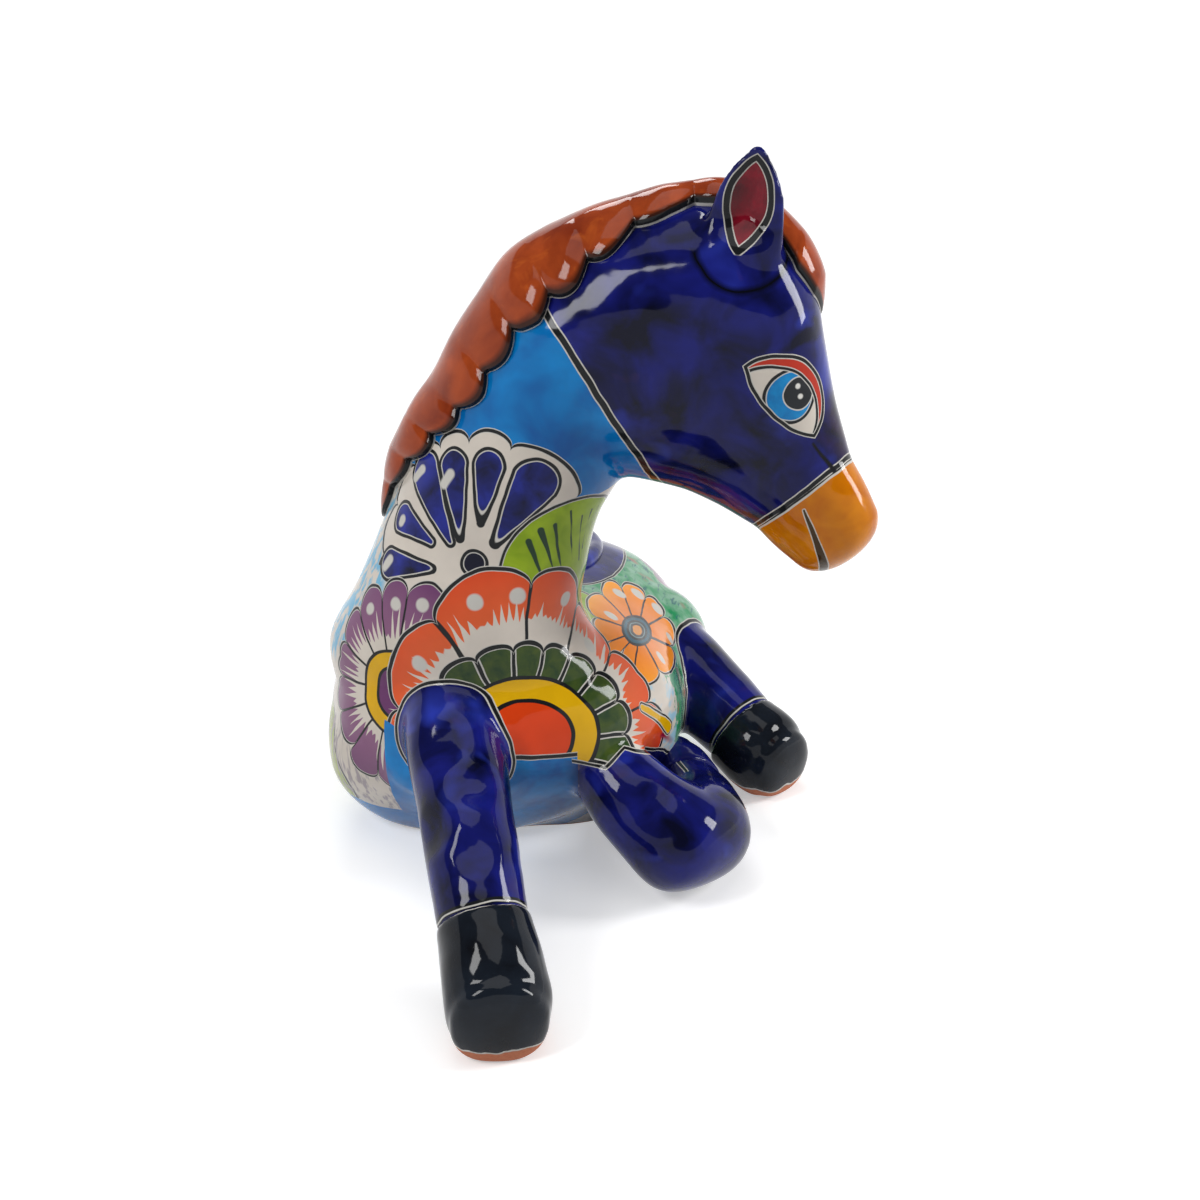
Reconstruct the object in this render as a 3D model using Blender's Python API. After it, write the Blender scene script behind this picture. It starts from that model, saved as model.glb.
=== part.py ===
"""Ceramic horse planter: a lying horse whose low barrel is a pot, open behind the neck.

The animal is put together the way a potter does it. A hollow barrel with a flat foot is the pot, a
rolled lip makes its mouth, and the hollow neck, the head, the ears, the mane, the legs and the tail
are formed apart and set on it. Every seat keeps a joint gap of a third of a millimetre.

Metres, +Z up. The origin is on the table under the middle of the pot. The horse faces -Y, its left side
is +X, and its head is turned to its left, so neck and head lie in a plane that runs along X.
"""

import math

import bmesh
import bpy
from mathutils import Vector

MM = 0.001

# Joints, walls, and the least share that a shrunk section keeps
SEAT_GAP = 0.3 * MM
WELD = 0.02 * MM
LEAST_SHARE = 0.05
POT_WALL = 7.0 * MM
POT_FLOOR = 8.0 * MM
TABLE_HALF = 400.0 * MM
TABLE_DEPTH = 200.0 * MM
NECK_WALL = 6.5 * MM
VENT_RADIUS = 5.0 * MM
VENT_X = -6.0 * MM

# Barrel stations from the chest to the rump, in millimetres: place along Y, sideways shift,
# height of the widest line, half width, rise above that line, the fullness below it, and how far
# the lower half leans to the left, because the chest is drawn back beside the folded foreleg
BARREL = [
    (-90.0, -6.0, 61.0, 32.0, 25.0, 0.9, -8.0),
    (-78.0, -6.0, 57.0, 52.0, 41.0, 0.85, -22.0),
    (-62.0, -5.0, 56.0, 64.0, 47.0, 1.19, -23.0),
    (-48.0, -5.0, 55.0, 70.0, 48.0, 1.28, -13.0),
    (-30.0, -4.0, 52.0, 74.0, 50.0, 1.6, -2.0),
    (-8.0, -4.0, 43.0, 75.0, 55.0, 1.6, 0.0),
    (20.0, -2.0, 37.0, 69.0, 55.0, 1.5, 0.0),
    (48.0, 0.0, 35.0, 66.0, 53.0, 1.4, 0.0),
    (76.0, 0.0, 35.0, 57.0, 46.0, 1.2, 0.0),
    (95.0, 0.0, 36.0, 43.0, 35.0, 1.0, 0.0),
    (105.0, 0.0, 37.0, 26.0, 22.0, 0.9, 0.0),
]
BARREL_DOME = 5.0 * MM

# Haunches: the swell of each hind quarter on the barrel's side
HAUNCH_X = 46.0 * MM
HAUNCH_Y = 44.0 * MM
HAUNCH_Z = 36.0 * MM
HAUNCH_HALF = (28.0 * MM, 40.0 * MM, 33.0 * MM)

# Pot mouth and drain
MOUTH_X = -9.0 * MM
MOUTH_Y = 46.0 * MM
MOUTH_HALF_X = 25.0 * MM
MOUTH_HALF_Y = 36.0 * MM
LIP_RADIUS = 4.5 * MM
LIP_OVERHANG = 2.0 * MM
DRAIN_RADIUS = 6.0 * MM
DRAIN_Y = 34.0 * MM

# Neck and head, in millimetres in the plane of the neck: crest point, throat point, each as
# distance along X and height over the neck's root, and half thickness across
NECK_Y = -43.6 * MM
NECK_ROOT_Z = 102.0 * MM
NECK_LEAN = 0.2
NECK = [
    ((-69.0, -39.0), (52.0, -42.0), 30.0),
    ((-72.5, -14.0), (47.0, -18.0), 40.0),
    ((-59.0, 12.0), (33.0, 3.0), 42.0),
    ((-47.0, 41.0), (35.0, 24.0), 39.0),
    ((-37.0, 67.0), (39.0, 42.0), 37.0),
    ((-22.0, 92.0), (44.0, 53.0), 36.0),
    ((-2.0, 128.0), (48.0, 59.0), 36.0),
]
HEAD = [
    ((17.0, 143.5), (58.0, 58.5), 37.0),
    ((38.0, 153.5), (66.0, 57.5), 38.0),
    ((61.0, 161.5), (74.0, 56.0), 38.5),
    ((85.0, 164.0), (81.0, 53.5), 38.0),
    ((103.0, 154.0), (87.0, 51.0), 36.0),
    ((116.0, 137.0), (92.0, 48.5), 33.0),
    ((122.0, 118.0), (96.0, 46.5), 29.0),
    ((127.5, 97.0), (99.5, 45.0), 25.0),
    ((136.0, 74.0), (102.0, 44.0), 21.5),
]
ROOT_ROLL = 4.0
HEAD_ROLL = 26.0
HEAD_YAW = 10.0
MUZZLE_LENGTH = 20.0 * MM
MUZZLE_DOME = 12.0 * MM
MUZZLE_TAPER = 0.84
MUZZLE_SWELL = 1.03

# Mane and forelock, laid over the crest: at each station along neck and head the angle from the
# crest down to the edge, in degrees
MANE_SPREAD = [
    (2.8, 10.0),
    (3.5, 22.0),
    (4.0, 38.0),
    (4.6, 47.0),
    (5.2, 55.0),
    (6.3, 59.0),
    (7.2, 53.0),
    (8.0, 42.0),
    (9.0, 26.0),
    (10.05, 17.0),
]
MANE_THICK = 8.0 * MM
MANE_EDGE_THICK = 2.4 * MM
MANE_SINK = 1.5 * MM
MANE_SCALLOP = 4.0
MANE_SCALLOP_PITCH = 0.6
MANE_WAVE = 1.2 * MM
TAPER_RATE = 7.0
FORELOCK_SPREAD = [(10.12, 18.0), (10.8, 26.0), (11.5, 34.0), (12.1, 26.0), (12.6, 10.0)]
FORELOCK_THICK = 8.5 * MM
MANE_STEPS = 38
FORELOCK_STEPS = 10
BAND_TURNS = 8
BAND_RIM_SHARE = 0.6

# Ears: station along neck and head, angle from the crest, lean away from the crest and backwards
EAR_STATION = 10.2
EAR_ANGLE = 40.0
EAR_LENGTH = 40.5 * MM
EAR_SINK = 9.0 * MM
EAR_HALF_WIDTH = 13.5 * MM
EAR_HALF_THICK = 8.5 * MM
EAR_FORWARD = 0.06
EAR_SPLAY = 0.24
FAR_EAR_FORWARD = -0.25
FAR_EAR_SPLAY = 0.45
EAR_SHAPE = [(0.0, 0.78), (0.18, 0.92), (0.38, 1.0), (0.58, 0.9), (0.76, 0.66), (0.9, 0.36), (1.0, 0.1)]
EAR_SCOOP_SHARE = 0.85
EAR_RIM_SHARE = 0.76
EAR_EDGE_THICK = 0.35
EAR_THINNING = 0.45

# Legs, in millimetres: points along each leg's middle with the radius there
FORELEG_RIGHT = [
    ((-16.0, -64.0, 74.0), 21.0),
    ((-9.0, -87.0, 70.0), 20.5),
    ((2.0, -113.0, 60.0), 18.5),
    ((12.0, -136.0, 47.5), 18.0),
    ((21.0, -155.0, 34.0), 17.0),
]
FORE_HOOF_RIGHT = [
    ((28.0, -169.0, 25.0), 18.5),
    ((33.0, -180.0, 18.5), 18.5),
    ((35.0, -186.0, 16.5), 16.0),
]
FORELEG_LEFT = [
    ((34.0, -54.0, 53.0), 13.5),
    ((49.0, -66.0, 46.0), 16.0),
    ((65.5, -75.5, 36.0), 19.0),
    ((81.5, -77.5, 24.5), 22.5),
    ((88.0, -67.0, 21.5), 21.0),
    ((84.0, -48.0, 18.5), 18.0),
    ((77.0, -34.0, 17.0), 16.5),
]
FORE_HOOF_LEFT = [
    ((70.0, -23.0, 16.5), 16.5),
    ((65.0, -15.0, 16.0), 14.0),
]
HIND_LEG_LEFT = [
    ((44.0, 44.0, 40.0), 22.0),
    ((62.0, 34.0, 37.0), 22.0),
    ((80.0, 22.0, 30.0), 19.5),
    ((94.0, 12.0, 23.5), 17.5),
]
HIND_HOOF_LEFT = [
    ((103.0, 6.0, 19.5), 18.5),
    ((109.5, 2.0, 17.5), 17.5),
    ((113.5, -1.0, 16.5), 14.0),
]
HIND_LEG_RIGHT = [
    ((-46.0, 56.0, 40.0), 23.0),
    ((-62.0, 50.0, 36.0), 22.0),
    ((-72.0, 36.0, 26.0), 19.0),
    ((-76.0, 20.0, 20.0), 17.5),
]
HIND_HOOF_RIGHT = [
    ((-77.0, 10.0, 18.0), 18.0),
    ((-77.0, 3.0, 17.0), 15.5),
]
HOOF_LIP = 0.8 * MM
TIP_BLUNTNESS = 0.6

# Tail, curled round the rump, in millimetres: points with radii
TAIL = [
    ((-12.0, 98.0, 54.0), 9.0),
    ((-2.0, 109.0, 49.0), 11.0),
    ((16.0, 112.0, 40.0), 12.0),
    ((36.0, 105.0, 28.0), 12.5),
    ((52.0, 92.0, 18.0), 12.0),
    ((64.0, 78.0, 12.0), 10.0),
    ((70.0, 66.0, 9.0), 5.0),
]

# Faces around the forms, the turn of a rounded end, and the angle of a sharp edge
BARREL_RING_COUNT = 28
HOLLOW_RING_COUNT = 20
NECK_RING_COUNT = 24
LEG_RING_COUNT = 16
EAR_RING_COUNT = 12
LIP_RING_COUNT = 28
LIP_BEAD = 8
ROUND_RING_COUNT = 20
VENT_RING_COUNT = 16
DOME_TURN = 80.0
SHARP_ANGLE = 50.0

COBALT = ((0.012, 0.014, 0.115), 0.12)
MAJOLICA = ((0.640, 0.250, 0.120), 0.12)
SKY = ((0.010, 0.240, 0.520), 0.12)
RUSSET = ((0.330, 0.070, 0.022), 0.12)
AMBER = ((0.650, 0.230, 0.004), 0.12)
BLACK = ((0.006, 0.008, 0.012), 0.12)


class Ring:
    """One cross-section of a lofted form: its middle, its two half axes, and the lower half's axis."""

    def __init__(self, middle, across, side, low=None):
        self.middle = Vector(middle)
        self.across = Vector(across)
        self.side = Vector(side)
        self.low = Vector(side if low is None else low)

    def grown(self, extra):
        """The same section with its outline moved outwards by extra, inwards where negative."""
        return Ring(
            self.middle,
            self.across * max(LEAST_SHARE, 1 + extra / self.across.length),
            self.side * max(LEAST_SHARE, 1 + extra / self.side.length),
            self.low * max(LEAST_SHARE, 1 + extra / self.low.length),
        )

    def point(self, angle, extra=0.0):
        """The outline's point at an angle from the across axis, in radians."""
        wide = self.across * (1 + extra / self.across.length)
        half = self.side if math.sin(angle) > 0 else self.low
        deep = half * (1 + extra / half.length)
        return self.middle + wide * math.cos(angle) + deep * math.sin(angle)


def blend(values, t):
    """Catmull-Rom value between the second and third of four values."""
    a, b, c, d = values
    return 0.5 * (
        2 * b + (c - a) * t + (2 * a - 5 * b + 4 * c - d) * t * t + (3 * b - a - 3 * c + d) * t ** 3
    )


def ring_at(rings, station):
    """The section at a station between the given ones, on a smooth curve through them."""
    last = len(rings) - 1
    index = min(int(station), last - 1)
    near = [rings[min(max(index + k, 0), last)] for k in (-1, 0, 1, 2)]
    t = station - index
    return Ring(
        blend([ring.middle for ring in near], t),
        blend([ring.across for ring in near], t),
        blend([ring.side for ring in near], t),
        blend([ring.low for ring in near], t),
    )


def smooth_rings(rings, steps):
    """The sections with steps - 1 more between each pair."""
    return [ring_at(rings, k / steps) for k in range((len(rings) - 1) * steps + 1)]


def dome(ring, direction, height, steps=3):
    """Sections that close a form with a rounded end."""
    out = []
    for k in range(1, steps + 1):
        turn = math.radians(DOME_TURN) * k / steps
        shrink = math.cos(turn)
        middle = ring.middle + direction * height * math.sin(turn)
        out.append(Ring(middle, ring.across * shrink, ring.side * shrink, ring.low * shrink))
    return out


def table_value(table, station):
    """A value read from (station, value) pairs, straight between them."""
    for (low, first), (high, second) in zip(table, table[1:]):
        if station <= high:
            return first + (second - first) * (station - low) / (high - low)
    return table[-1][1]


def new_collection(name):
    """A new collection in the scene."""
    made = bpy.data.collections.new(name)
    bpy.context.scene.collection.children.link(made)
    return made


def new_object(name, data, home):
    """An object from bmesh data, in a collection."""
    bmesh.ops.recalc_face_normals(data, faces=data.faces)
    mesh = bpy.data.meshes.new(name)
    data.to_mesh(mesh)
    data.free()
    made = bpy.data.objects.new(name, mesh)
    home.objects.link(made)
    return made


def loft_outlines(name, outlines, home):
    """A closed solid through point rows of equal length, with flat ends."""
    data = bmesh.new()
    rows = [[data.verts.new(point) for point in row] for row in outlines]
    count = len(rows[0])
    for low, high in zip(rows, rows[1:]):
        for k in range(count):
            data.faces.new((low[k], low[(k + 1) % count], high[(k + 1) % count], high[k]))
    data.faces.new(rows[0])
    data.faces.new(rows[-1])
    bmesh.ops.triangulate(data, faces=[face for face in data.faces if len(face.verts) > 4])
    return new_object(name, data, home)


def loft(name, rings, home, segments):
    """A closed solid through elliptical sections."""
    turns = [2 * math.pi * k / segments for k in range(segments)]
    return loft_outlines(name, [[ring.point(turn) for turn in turns] for ring in rings], home)


def ellipsoid(name, middle, half, home, segments=ROUND_RING_COUNT):
    """An ellipsoid from a UV sphere primitive."""
    data = bmesh.new()
    bmesh.ops.create_uvsphere(data, u_segments=segments, v_segments=segments // 2, radius=1.0)
    bmesh.ops.scale(data, vec=half, verts=data.verts)
    bmesh.ops.translate(data, vec=middle, verts=data.verts)
    return new_object(name, data, home)


def box(name, low, high, home):
    """A box between two corners."""
    data = bmesh.new()
    bmesh.ops.create_cube(data, size=1.0)
    low, high = Vector(low), Vector(high)
    bmesh.ops.scale(data, vec=high - low, verts=data.verts)
    bmesh.ops.translate(data, vec=(high + low) / 2, verts=data.verts)
    return new_object(name, data, home)


def upright(name, middle, half_x, half_y, low, high, home, segments=LIP_RING_COUNT):
    """An upright oval prism."""
    rings = [Ring((middle[0], middle[1], z), (half_x, 0, 0), (0, half_y, 0)) for z in (low, high)]
    return loft(name, rings, home, segments)


def boolean(target, other, operation="DIFFERENCE"):
    """Cuts or joins with an exact Boolean and keeps the result as plain mesh."""
    modifier = target.modifiers.new(operation.lower(), "BOOLEAN")
    modifier.operation = operation
    modifier.solver = "EXACT"
    modifier.object = other
    graph = bpy.context.evaluated_depsgraph_get()
    mesh = bpy.data.meshes.new_from_object(target.evaluated_get(graph))
    data = bmesh.new()
    data.from_mesh(mesh)
    bmesh.ops.triangulate(data, faces=data.faces)
    bmesh.ops.remove_doubles(data, verts=data.verts, dist=WELD)
    bmesh.ops.dissolve_degenerate(data, edges=data.edges, dist=WELD)
    bmesh.ops.triangulate(data, faces=data.faces)
    data.to_mesh(mesh)
    data.free()
    target.modifiers.clear()
    target.data = mesh


def finish(target, glaze):
    """Gives a piece its glaze and smooth shading."""
    colour, roughness = glaze
    material = bpy.data.materials.new(target.name + "_glaze")
    material.use_nodes = True
    shader = material.node_tree.nodes["Principled BSDF"]
    shader.inputs["Base Color"].default_value = (*colour, 1.0)
    shader.inputs["Roughness"].default_value = roughness
    shader.inputs["Metallic"].default_value = 0.0
    target.data.materials.clear()
    target.data.materials.append(material)
    target.data.shade_smooth()
    target.data.set_sharp_from_angle(angle=math.radians(SHARP_ANGLE))


def barrel_rings():
    """Sections of the barrel from the chest to the rump."""
    rings = []
    for y, x, z, wide, high, fullness, lean in BARREL:
        middle = Vector((x, y, z)) * MM
        low = Vector((-lean, 0, high * fullness)) * MM
        rings.append(Ring(middle, (wide * MM, 0, 0), (0, 0, high * MM), low))
    return rings


def barrel_form(name, extra, home, cutters, steps=2, segments=BARREL_RING_COUNT):
    """The barrel's form with its haunches, grown by extra, closed by rounded ends."""
    rings = [ring.grown(extra) for ring in smooth_rings(barrel_rings(), steps)]
    front = dome(rings[0], Vector((0, -1, 0)), BARREL_DOME + extra)
    back = dome(rings[-1], Vector((0, 1, 0)), BARREL_DOME + extra)
    form = loft(name, list(reversed(front)) + rings + back, home, segments)
    for side in (-1, 1):
        half = [size + extra for size in HAUNCH_HALF]
        haunch = ellipsoid(name + "_haunch", (side * HAUNCH_X, HAUNCH_Y, HAUNCH_Z), half, cutters)
        boolean(form, haunch, "UNION")
    return form


def neck_rings():
    """Sections of neck and head, from inside the barrel to the muzzle's seam."""
    rings = []
    sections = NECK + HEAD
    for index, (crest, throat, half) in enumerate(sections):
        share = min(1.0, index / (len(NECK) + 1))
        roll = math.radians(ROOT_ROLL + (HEAD_ROLL - ROOT_ROLL) * share)
        yaw = math.radians(HEAD_YAW * share)
        ends = []
        for x, z in (crest, throat):
            ends.append(Vector((x * MM, NECK_Y + NECK_LEAN * z * MM, NECK_ROOT_Z + z * MM)))
        side = Vector(
            (math.sin(yaw) * math.cos(roll), -math.cos(yaw) * math.cos(roll), math.sin(roll))
        )
        rings.append(Ring((ends[0] + ends[1]) / 2, (ends[0] - ends[1]) / 2, side * half * MM))
    return rings


def muzzle_rings(seam):
    """Sections of the muzzle from its seam with the head to its rounded tip."""
    direction = seam.across.cross(seam.side).normalized()
    direction = -direction if direction.z > 0 else direction
    end = Ring(
        seam.middle + direction * MUZZLE_LENGTH,
        seam.across * MUZZLE_TAPER,
        seam.side * MUZZLE_TAPER,
    )
    middle = Ring(
        (seam.middle + end.middle) / 2,
        (seam.across + end.across) / 2 * MUZZLE_SWELL,
        (seam.side + end.side) / 2 * MUZZLE_SWELL,
    )
    return [seam, middle, end], direction


def crest_band(name, rings, spreads, thick, scallop, steps, tapers_up, home):
    """A closed crescent over the crest, with a waved back and a scalloped edge.

    It thins to nothing at its lower end, which is the last one where tapers_up is false.
    """
    first, last = spreads[0][0], spreads[-1][0]
    outlines = []
    for k in range(steps + 1):
        station = first + (last - first) * k / steps
        ring = ring_at(rings, station)
        reach = (k + 0.5) / (steps + 0.5)
        fade = min(1.0, (reach if tapers_up else 1 + 0.5 / steps - reach) * TAPER_RATE) ** 0.5
        wave = math.sin(2 * math.pi * station / MANE_SCALLOP_PITCH)
        edge = table_value(spreads, station) + scallop * wave
        back = (thick + MANE_WAVE * wave) * fade
        rim = min(MANE_EDGE_THICK, back * BAND_RIM_SHARE)
        row = []
        for j in range(BAND_TURNS + 1):
            share = 2 * j / BAND_TURNS - 1
            lift = rim + (back - rim) * (1 - share * share)
            row.append(ring.point(math.radians(edge * share), SEAT_GAP + lift))
        for j in range(BAND_TURNS, -1, -1):
            row.append(ring.point(math.radians(edge * (2 * j / BAND_TURNS - 1)), -MANE_SINK))
        outlines.append(row)
    return loft_outlines(name, outlines, home)


def ear_form(name, rings, angle, forward, splay, home, cutters):
    """One ear: a leaf on the head's crown, scooped on the side that faces outwards."""
    ring = ring_at(rings, EAR_STATION)
    seat = ring.point(math.radians(angle))
    away = (ring.side if angle > 0 else -ring.side).normalized()
    rise = ring.across.normalized()
    ahead = Vector((1, 0, 0))
    axis = (rise + away * splay + ahead * forward).normalized()
    wide = (ahead - axis * ahead.dot(axis)).normalized()
    deep = axis.cross(wide).normalized()
    deep = deep if deep.dot(away) > 0 else -deep
    root = seat - axis * EAR_SINK
    leaf = []
    hollow = []
    for share, width in EAR_SHAPE:
        thick = EAR_HALF_THICK * (EAR_EDGE_THICK + (1 - EAR_EDGE_THICK) * width)
        thick = thick * (1 - EAR_THINNING * share)
        middle = root + axis * EAR_LENGTH * share
        leaf.append(Ring(middle, wide * EAR_HALF_WIDTH * width, deep * thick))
        if EAR_SHAPE[1][0] < share < 1.0:
            hollow.append(
                Ring(
                    middle + deep * thick,
                    wide * EAR_HALF_WIDTH * width * EAR_RIM_SHARE,
                    deep * thick * EAR_SCOOP_SHARE,
                )
            )
    ear = loft(name, smooth_rings(leaf, 2), home, EAR_RING_COUNT)
    boolean(ear, loft(name + "_scoop", smooth_rings(hollow, 2), cutters, EAR_RING_COUNT))
    return ear


def tube_rings(points, extra=0.0):
    """Round sections along a leg or tail, each square to the path."""
    places = [Vector(place) * MM for place, _ in points]
    rings = []
    for k, (_, radius) in enumerate(points):
        ahead = places[min(k + 1, len(places) - 1)] - places[max(k - 1, 0)]
        side = ahead.cross(Vector((0, 0, 1))).normalized()
        up = side.cross(ahead).normalized()
        rings.append(Ring(places[k], side * (radius * MM + extra), up * (radius * MM + extra)))
    return rings


def root_dome(rings):
    """Sections that round over the first end of a limb."""
    way = (rings[0].middle - rings[1].middle).normalized()
    return list(reversed(dome(rings[0], way, rings[0].side.length)))


def tip_dome(rings):
    """Sections that round over the last end of a limb."""
    way = (rings[-1].middle - rings[-2].middle).normalized()
    return dome(rings[-1], way, rings[-1].side.length * TIP_BLUNTNESS)


def barrel_top(x, y):
    """Height of the barrel's back over a place on the table."""
    rings = barrel_rings()
    for low, high in zip(rings, rings[1:]):
        if y <= high.middle.y:
            share = (y - low.middle.y) / (high.middle.y - low.middle.y)
            middle = low.middle.lerp(high.middle, share)
            wide = low.across.lerp(high.across, share).x
            tall = low.side.lerp(high.side, share).z
            return middle.z + tall * math.sqrt(max(0.0, 1 - ((x - middle.x) / wide) ** 2))
    return 0.0


def lip_form(name, extra, home):
    """The rolled lip round the mouth: a bead that follows the barrel's back, grown by extra."""
    data = bmesh.new()
    rows = []
    for k in range(LIP_RING_COUNT):
        turn = 2 * math.pi * k / LIP_RING_COUNT
        out = Vector((math.cos(turn), math.sin(turn), 0))
        x = MOUTH_X + (MOUTH_HALF_X + LIP_RADIUS - LIP_OVERHANG) * out.x
        y = MOUTH_Y + (MOUTH_HALF_Y + LIP_RADIUS - LIP_OVERHANG) * out.y
        middle = Vector((x, y, barrel_top(x, y)))
        row = []
        for j in range(LIP_BEAD):
            roll = 2 * math.pi * j / LIP_BEAD
            spoke = out * math.cos(roll) + Vector((0, 0, 1)) * math.sin(roll)
            row.append(data.verts.new(middle + spoke * (LIP_RADIUS + extra)))
        rows.append(row)
    for k in range(LIP_RING_COUNT):
        low, high = rows[k], rows[(k + 1) % LIP_RING_COUNT]
        for j in range(LIP_BEAD):
            near, far = j, (j + 1) % LIP_BEAD
            data.faces.new((low[near], low[far], high[far], high[near]))
    return new_object(name, data, home)


def make_pot(parts, cutters, floor_box):
    """The hollow barrel with its flat foot, mouth, drain and the vent under the neck."""
    pot = barrel_form("body_pot", 0.0, parts, cutters)
    boolean(pot, floor_box)
    cavity = barrel_form("pot_cavity", -POT_WALL, cutters, cutters, 1, HOLLOW_RING_COUNT)
    low, high = (-TABLE_HALF, -TABLE_HALF, -TABLE_DEPTH), (TABLE_HALF, TABLE_HALF, POT_FLOOR)
    boolean(cavity, box("cavity_floor", low, high, cutters))
    boolean(pot, cavity)
    reach = barrel_top(MOUTH_X, MOUTH_Y) + 4 * LIP_RADIUS
    half = (MOUTH_HALF_X, MOUTH_HALF_Y)
    mouth = upright("mouth_cut", (MOUTH_X, MOUTH_Y), *half, reach / 2, reach, cutters)
    boolean(pot, mouth)
    low, high = -POT_FLOOR, 2 * POT_FLOOR
    half = (DRAIN_RADIUS, DRAIN_RADIUS)
    drain = upright("drain_cut", (0, DRAIN_Y), *half, low, high, cutters, ROUND_RING_COUNT)
    boolean(pot, drain)
    vent_place = (VENT_X, NECK_Y)
    roof = barrel_top(*vent_place)
    low, high = roof - 3 * POT_WALL, roof + POT_WALL
    vent = upright("vent_cut", vent_place, VENT_RADIUS, VENT_RADIUS, low, high, cutters, VENT_RING_COUNT)
    boolean(pot, vent)
    boolean(pot, lip_form("lip_groove", SEAT_GAP, cutters))
    finish(pot, MAJOLICA)
    lip = lip_form("mouth_rim", 0.0, parts)
    finish(lip, COBALT)


def neck_seat_form(cutters):
    """The closed form of neck and head, grown by the joint gap, that cuts what is set on them."""
    rings = neck_rings()
    run = [ring.grown(SEAT_GAP) for ring in smooth_rings(rings, 2)]
    return loft("neck_seat", run, cutters, NECK_RING_COUNT)


def make_neck_and_head(parts, cutters, barrel_seat, neck_seat):
    """The hollow neck, head and muzzle with the mane, forelock and ears on them."""
    rings = neck_rings()
    seam = len(NECK) - 1
    last = len(rings) - 1
    neck_run = [ring_at(rings, k / 2) for k in range(2 * seam + 1)]
    head_run = [ring_at(rings, k / 2) for k in range(2 * seam, 2 * last + 1)]
    to_head = rings[seam].across.cross(rings[seam].side).normalized()
    to_head = to_head if to_head.x > 0 else -to_head

    neck = loft("neck_shell", neck_run, parts, NECK_RING_COUNT)
    bore = [ring.grown(-NECK_WALL) for ring in neck_run]
    bore.append(Ring(bore[-1].middle + to_head * NECK_WALL, bore[-1].across, bore[-1].side))
    boolean(neck, loft("neck_bore", bore, cutters, NECK_RING_COUNT))
    boolean(neck, barrel_seat)
    finish(neck, SKY)

    head_run[0] = Ring(head_run[0].middle + to_head * SEAT_GAP, head_run[0].across, head_run[0].side)
    muzzle_run, to_tip = muzzle_rings(rings[last])
    head = loft("head_shell", head_run, parts, NECK_RING_COUNT)
    bore = [ring.grown(-NECK_WALL) for ring in head_run]
    bore.insert(0, Ring(bore[0].middle - to_head * NECK_WALL, bore[0].across, bore[0].side))
    bore.append(Ring(bore[-1].middle + to_tip * NECK_WALL, bore[-1].across, bore[-1].side))
    boolean(head, loft("head_bore", bore, cutters, NECK_RING_COUNT))
    finish(head, COBALT)

    bore = [ring.grown(-NECK_WALL) for ring in muzzle_run]
    bore.insert(0, Ring(bore[0].middle - to_tip * NECK_WALL, bore[0].across, bore[0].side))
    muzzle_run[0] = Ring(
        muzzle_run[0].middle + to_tip * SEAT_GAP, muzzle_run[0].across, muzzle_run[0].side
    )
    tip = dome(muzzle_run[-1], to_tip, MUZZLE_DOME, 4)
    muzzle = loft("muzzle", smooth_rings(muzzle_run, 2) + tip, parts, NECK_RING_COUNT)
    boolean(muzzle, loft("muzzle_bore", bore, cutters, NECK_RING_COUNT))
    finish(muzzle, AMBER)

    mane = crest_band("mane", rings, MANE_SPREAD, MANE_THICK, MANE_SCALLOP, MANE_STEPS, True, parts)
    spread, thick = FORELOCK_SPREAD, FORELOCK_THICK
    forelock = crest_band("forelock", rings, spread, thick, 0.0, FORELOCK_STEPS, False, parts)
    boolean(mane, barrel_seat)
    boolean(mane, neck_seat)
    boolean(forelock, neck_seat)
    for name, angle, forward, splay in (
        ("ear_right", EAR_ANGLE, EAR_FORWARD, EAR_SPLAY),
        ("ear_left", -EAR_ANGLE, FAR_EAR_FORWARD, FAR_EAR_SPLAY),
    ):
        ear = ear_form(name, rings, angle, forward, splay, parts, cutters)
        boolean(ear, neck_seat)
        finish(ear, COBALT)
    finish(mane, RUSSET)
    finish(forelock, RUSSET)


def make_limb(parts, seats, leg_name, leg, hoof_name, hoof):
    """One leg seated on the barrel, and its hoof on the leg's end."""
    rings = smooth_rings(tube_rings(leg + hoof), 2)
    seam = 2 * (len(leg) - 1)
    limb = loft(leg_name, root_dome(rings) + rings[: seam + 1], parts, LEG_RING_COUNT)
    for seat in seats:
        boolean(limb, seat)
    finish(limb, COBALT)
    start = rings[seam]
    way = start.across.cross(start.side).normalized()
    way = way if way.dot(rings[seam + 1].middle - start.middle) > 0 else -way
    run = [Ring(start.middle + way * SEAT_GAP, start.across, start.side)] + rings[seam + 1 :]
    run = [ring.grown(HOOF_LIP) for ring in run]
    foot = loft(hoof_name, run + tip_dome(run), parts, LEG_RING_COUNT)
    for seat in seats:
        boolean(foot, seat)
    finish(foot, BLACK)


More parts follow.
